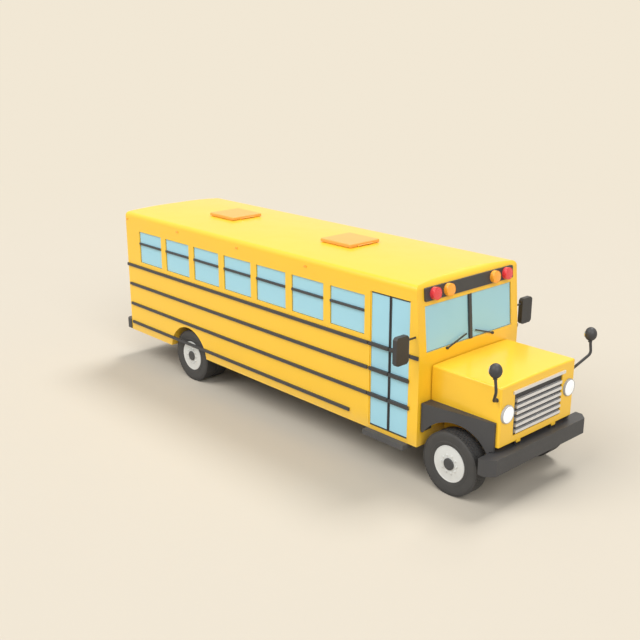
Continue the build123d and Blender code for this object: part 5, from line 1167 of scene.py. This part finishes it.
def cushion(rear, front, near, far):
    """A seat cushion's block, a gap smaller than the cushion all round."""
    work = Work()
    work.bar((rear, near + PAD_GAP, SEAT_FOOT + PAD_GAP),
             (front - PAD_GAP, far - PAD_GAP, SEAT_TOP - PAD_GAP), SEAT_EDGE, 2)
    return work


def backrest(rear, near, far, foot, top, lean):
    """A back's block, whose top lies further back than its foot."""
    work = Work()
    top -= PAD_GAP
    work.bar((rear + PAD_GAP, near, foot), (rear + BACK_THICK - PAD_GAP, far, top), BACK_EDGE, 2)
    for point in work.mesh.verts:
        point.co.x -= lean * (point.co.z - foot) / (top - foot)
    return work


# %% Bench frames
BENCH_DEEP, AISLE, BENCH_WIDE = 0.42, 0.17, 0.96
LEG_INSET, LEG_RADIUS, LEG_BEND, LEG_UP = 0.080, 0.0145, 0.035, 0.018
BRACE_RADIUS, BRACE_UP = 0.010, 0.10
FOOT_LONG, FOOT_HALF, FOOT_THICK = 0.03, 0.022, 0.007
TRAY_REAR, TRAY_FRONT, TRAY_SIDE, TRAY_THICK, TRAY_EDGE = 0.07, 0.03, 0.02, 0.014, 0.003


def bench_legs(start, near, far):
    """Two bent tube hoops with a brace and a foot plate each, under one tray."""
    work = Work()
    rear, front = start + LEG_INSET, start + BENCH_DEEP - LEG_INSET
    low, high = FLOOR_TOP + LEG_UP, SEAT_FOOT + 0.004
    for y in (near + LEG_INSET, far - LEG_INSET):
        hoop = [(rear, y, low), (rear, y, high), (front, y, high), (front, y, low)]
        work.tube(rounded(hoop, LEG_BEND), LEG_RADIUS, 10)
        work.bar((rear - FOOT_LONG, y - FOOT_HALF, FLOOR_TOP + HAIR),
                 (front + FOOT_LONG, y + FOOT_HALF, FLOOR_TOP + FOOT_THICK), SOFT)
        work.tube([(rear, y, low + BRACE_UP), (front, y, low + BRACE_UP)], BRACE_RADIUS, 8)
    work.bar((start + TRAY_REAR, near + TRAY_SIDE, SEAT_FOOT),
             (start + BENCH_DEEP - TRAY_FRONT, far - TRAY_SIDE, SEAT_FOOT + TRAY_THICK), TRAY_EDGE)
    return put("legs", work.close("legs"))


# %% Passenger benches
ROW_FIRST, ROW_PITCH, ROW_COUNT = 0.52, 0.76, 8
BENCH_VOXEL = 0.034
BACK_ROOM, BACK_SUNK = 0.075, 0.09
first_row = TAIL_X + ROW_FIRST
benches = {name: Work() for name in ("bench_cushions", "bench_backs", "bench_frames")}
for side in SIDES:
    near, far = sorted((side * AISLE, side * (AISLE + BENCH_WIDE)))
    seat = cushion(first_row + BACK_ROOM, first_row + BENCH_DEEP, near, far)
    back = backrest(first_row, near + PAD_GAP, far - PAD_GAP, SEAT_TOP - BACK_SUNK, BACK_TOP, BACK_LEAN)
    for name, holder, finish in (
            ("bench_cushions", padding(seat, BENCH_VOXEL), bench_vinyl),
            ("bench_backs", padding(back, BENCH_VOXEL), bench_vinyl),
            ("bench_frames", bench_legs(first_row, near, far), chassis_black)):
        benches[name].mesh.from_mesh(copies.make(
            Count=ROW_COUNT, Step=(ROW_PITCH, 0.0, 0.0), Piece=holder, Finish=finish))
        bpy.data.objects.remove(holder)

for name, work in benches.items():
    padded = name != "bench_frames"
    piece = deliver(name, work, "coach", bench_vinyl if padded else chassis_black, 60)
    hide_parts("passenger_seats")
    print(name, len(piece.data.polygons), "faces")

# %% Driver's seat
DRIVER_X, DRIVER_Y, DRIVER_HALF = TAIL_X + 7.25, 0.64, 0.25
DRIVER_LEAN, DRIVER_VOXEL = 0.08, 0.030
DRIVER_BACK_ROOM, DRIVER_BACK_SUNK, DRIVER_BACK_INSET = 0.06, 0.08, 0.03
seat_low, seat_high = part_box("driver_seat")
rear = seat_low.x + DRIVER_LEAN
near, far = DRIVER_Y - DRIVER_HALF, DRIVER_Y + DRIVER_HALF
seat = cushion(rear + DRIVER_BACK_ROOM, seat_high.x, near, far)
back = backrest(rear, near + DRIVER_BACK_INSET, far - DRIVER_BACK_INSET, SEAT_TOP - DRIVER_BACK_SUNK,
                seat_high.z, DRIVER_LEAN)
for name, work in (("driver_cushion", seat), ("driver_back", back)):
    holder = padding(work, DRIVER_VOXEL)
    soft = Work()
    soft.mesh.from_mesh(holder.data)
    bpy.data.objects.remove(holder)
    piece = deliver(name, soft, "coach", bench_vinyl, 60)
    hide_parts("driver_seat")

# %% The bellows under the driver's seat
FOLDS, FOLD_HIGH, FIRST_FOLD = 5, 0.04, 0.05
BASE_RADIUS, CREST_RADIUS, VALLEY_RADIUS, HEAD_PLATE = 0.14, 0.15, 0.12, 0.16
bellows = [(0, 0), (BASE_RADIUS, 0), (BASE_RADIUS, 0.03)]
for fold in range(FOLDS):
    crest = FIRST_FOLD + fold * FOLD_HIGH
    bellows += [(CREST_RADIUS, crest), (VALLEY_RADIUS, crest + FOLD_HIGH / 2)]
seat_up = SEAT_FOOT - FLOOR_TOP
bellows += [(HEAD_PLATE, 0.27), (HEAD_PLATE, seat_up), (0, seat_up)]
base = Work()
base.turned(bellows, (DRIVER_X, DRIVER_Y, FLOOR_TOP + HAIR), UP, 32)
piece = deliver("driver_pedestal", base, "coach", seal_rubber)
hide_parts("driver_seat")
print("the driver sits at x =", round(DRIVER_X, 3))

# %% [markdown]
# ## Cab and doorway
# The driver's hands know three things: the wheel's round grip, the gauges behind it and the pole by the
# stairs. The grip is a closed tube round the wheel's rim. The gauges are shallow discs, set where rays meet
# the dashboard, and a pole runs from the floor up to where a ray meets the roof.

# %% Grip and gauges
COLUMN = Vector((-0.7, 0, 0.714)).normalized()
WHEEL_CENTRE = Vector((3.0062, DRIVER_Y, 1.98)) - COLUMN * 0.019
GRIP_RING, GRIP_RADIUS, GRIP_STEPS = 0.23, 0.0185, 48
across_wheel = Vector((0, 1, 0))
up_wheel = COLUMN.cross(across_wheel)
turns = [2 * pi * n / GRIP_STEPS for n in range(GRIP_STEPS)]
grip = Work()
grip.tube([WHEEL_CENTRE + (across_wheel * cos(turn) + up_wheel * sin(turn)) * GRIP_RING for turn in turns],
          GRIP_RADIUS, 12, True)
deliver("wheel_grip", grip, "coach", seal_rubber)

# distance from the driver's middle, radius
GAUGES = [(-0.13, 0.045), (0.0, 0.045), (0.11, 0.030), (0.185, 0.030), (-0.225, 0.030)]
GAUGE_FROM_X, GAUGE_Z = 2.3, 1.79
GAUGE_AXIS = (-0.967, 0, -0.255)
gauges, gauge_rims = Work(), Work()
for across, radius in GAUGES:
    face = touch("dashboard", (GAUGE_FROM_X, DRIVER_Y + across, GAUGE_Z), AHEAD)
    gauges.turned(band(0, radius, -0.002, 0.003), face, GAUGE_AXIS, 28)
    gauge_rims.turned(rolled(radius, radius + 0.006, 0.010), face, GAUGE_AXIS, 28)
deliver("gauge_faces", gauges, "coach", dark_trim)
deliver("gauge_rims", gauge_rims, "coach", bright_steel)
print(len(GAUGES), "gauges")

# %% Poles, modesty panel and step nosings
POLE_X, POLE_YS = 2.29, (-0.52, -1.10)
POLE_RADIUS, HANDRAIL_RADIUS, HANDRAIL_Z = 0.016, 0.013, 2.02
POLE_FLANGE = flange(0.038, 0.004, 0.024, 0.014)
PANEL_LOW, PANEL_HIGH = (POLE_X - 0.012, -1.075, 1.30), (POLE_X + 0.012, -0.545, 1.95)
PANEL_EDGE = 0.008
NOSING_BACK, NOSING_DOWN, NOSING_PROUD, NOSING_END = 0.030, 0.022, 0.003, 0.05
# where a step's edge stands, height of its tread
STEPS = [(-0.890, 0.921), (-0.610, FLOOR_TOP)]
poles, panel, nosings = Work(), Work(), Work()
for y in POLE_YS:
    ceiling = touch("roof", (POLE_X, y, HANDRAIL_Z), UP).z
    poles.tube([(POLE_X, y, FLOOR_TOP + 0.001), (POLE_X, y, ceiling - 0.002)], POLE_RADIUS, 14)
    poles.turned(POLE_FLANGE, (POLE_X, y, FLOOR_TOP + HAIR), UP, 20)
poles.tube([(POLE_X, y, HANDRAIL_Z) for y in POLE_YS], HANDRAIL_RADIUS, 12)
deliver("poles", poles, "coach", bright_steel)
panel.bar(PANEL_LOW, PANEL_HIGH, PANEL_EDGE, 2)
deliver("modesty_panel", panel, "coach", bench_vinyl)
rear, front = corner("door_leaf_rear").x + NOSING_END, corner("door_leaf_front", True).x - NOSING_END
for edge_y, top in STEPS:
    nosings.bar((rear, edge_y - NOSING_PROUD, top - NOSING_DOWN),
                (front, edge_y + NOSING_BACK, top + NOSING_PROUD), SOFT)
deliver("step_nosings", nosings, "coach", border_paint)
print("the doorway is", round(front - rear, 3), "m long between its nosings' ends")

# %% [markdown]
# ## Under the floor
# What holds the springs, the tank and the exhaust is small, but a frame without it looks unfinished from
# below. A U-bolt is a tube along a path with rounded corners, a tank strap is a thin rectangular frame
# round the tank, and a pipe clamp is a band turned on the lathe.

# %% Spring clamps
SPRING_Y = 0.3925
BOLT_HALF, BOLT_AHEAD, BOLT_TOP, BOLT_DOWN = 0.046, 0.066, 0.636, 0.035
BOLT_RADIUS, BOLT_BEND, NUT_DOWN, NUT = 0.0075, 0.022, 0.024, band(0, 0.014, 0, 0.012)
LOWER_PLATE, LOWER_THICK = Vector((0.085, 0.062, 0)), Vector((0, 0, 0.011))
UPPER_PLATE, UPPER_THICK = Vector((0.085, 0.034, 0)), Vector((0, 0, 0.008))
# axle, height of the underside of its clamp plate
CLAMPED = [(FRONT_AXLE_X, 0.461), (REAR_AXLE_X, 0.440)]
hardware = Work()
for axle_x, under in CLAMPED:
    for side in SIDES:
        spring_y = side * SPRING_Y
        near, far = spring_y - BOLT_HALF, spring_y + BOLT_HALF
        for x in (axle_x - BOLT_AHEAD, axle_x + BOLT_AHEAD):
            foot = under - BOLT_DOWN
            loop = [(x, near, foot), (x, near, BOLT_TOP), (x, far, BOLT_TOP), (x, far, foot)]
            hardware.tube(rounded(loop, BOLT_BEND, 4), BOLT_RADIUS, 8)
            for y in (near, far):
                hardware.turned(NUT, (x, y, under - NUT_DOWN), UP, 6)
        plate = Vector((axle_x, spring_y, under))
        hardware.bar(plate - LOWER_PLATE - LOWER_THICK, plate + LOWER_PLATE, 0.003)
        top = touch("leaf_springs", (axle_x, spring_y, 2), -UP)
        hardware.bar(top - UPPER_PLATE, top + UPPER_PLATE + UPPER_THICK, SOFT)
deliver("spring_clamps", hardware, "coach", spring_steel)
print(len(CLAMPED) * 2, "springs are clamped")

# %% Tank straps and exhaust clamps
STRAP_WIDE, STRAP_THICK = 0.045, 0.004
STRAP_SHARES = (0.22, 0.72)
CAP_FLANGE, CAP_IN, CAP_DOWN = flange(0.048, 0.022, 0.040, 0.030), 0.15, 0.09
straps = Work()
low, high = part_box("fuel_tank")
for share in STRAP_SHARES:
    x = low.x + (high.x - low.x) * share
    straps.frame((x, low.y - STRAP_THICK, low.z - STRAP_THICK),
                 (x + STRAP_WIDE, high.y, high.z + STRAP_THICK), STRAP_THICK, 0.001)
straps.turned(CAP_FLANGE, (high.x - CAP_IN, low.y, high.z - CAP_DOWN), (0, -1, 0), 24)
deliver("tank_straps_and_cap", straps, "coach", bright_steel)

PIPE_Y, PIPE_Z, PIPE_RADIUS = 0.485, 0.83, 0.042
PIPE_CLAMP = band(PIPE_RADIUS + HAIR, PIPE_RADIUS + 0.006, -0.014, 0.014)
PIPE_CLAMPS_X = (2.2, 1.1, 0.25, -1.75)
clamps = Work()
for x in PIPE_CLAMPS_X:
    clamps.turned(PIPE_CLAMP, (x, PIPE_Y, PIPE_Z), AHEAD, 28)
deliver("exhaust_clamps", clamps, "coach", bright_steel)
faces = sum(len(piece.data.polygons) for piece in PIECES)
print(len(PIECES), "pieces ride on the frame,", faces, "faces in all")

# %% [markdown]
# ## Dress the CAD nodes
# Every node that has the right shape keeps it. The table below only says which finish each one wears.

# %% Dress the CAD nodes
DRESS = {
    coach_paint: "side_wall_right side_wall_left roof front_wall rear_wall emergency_door hood",
    leaf_paint: "door_leaf_rear door_leaf_front",
    charcoal: "rub_rails window_bars warning_panels front_bumper rear_bumper fenders",
    window_glass: "door_glass_rear door_glass_front window_glass emergency_glass",
    red_lens: "red_lamps",
    amber_lens: "amber_lamps",
    white_lens: "headlamps",
    chassis_black: "chassis_frame front_axle rear_axle knuckle_right knuckle_left tie_rod fuel_tank",
    spring_steel: "leaf_springs",
    engine_iron: "engine_block",
    exhaust_steel: "exhaust",
    front_rubber: "front_tyre_right front_tyre_left",
    rear_rubber: "rear_tyres_right rear_tyres_left",
    wheel_paint: "front_wheel_right front_wheel_left rear_wheel_right rear_wheel_left",
    ribbed_floor: "floor",
    bench_vinyl: "passenger_seats driver_seat",
    dash_plastic: "dashboard",
    dark_trim: "side_mirrors crossview_mirrors wipers grille_back",
    slat_silver: "grille",
    hatch_paint: "hatch_lid_rear hatch_lid_front",
    sign_paint: "stop_arm",
}
for finish, names in DRESS.items():
    for name in names.split():
        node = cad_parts[name]
        node.data.materials.clear()
        node.data.materials.append(finish)
print(sum(len(names.split()) for names in DRESS.values()), "nodes dressed of", len(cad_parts))
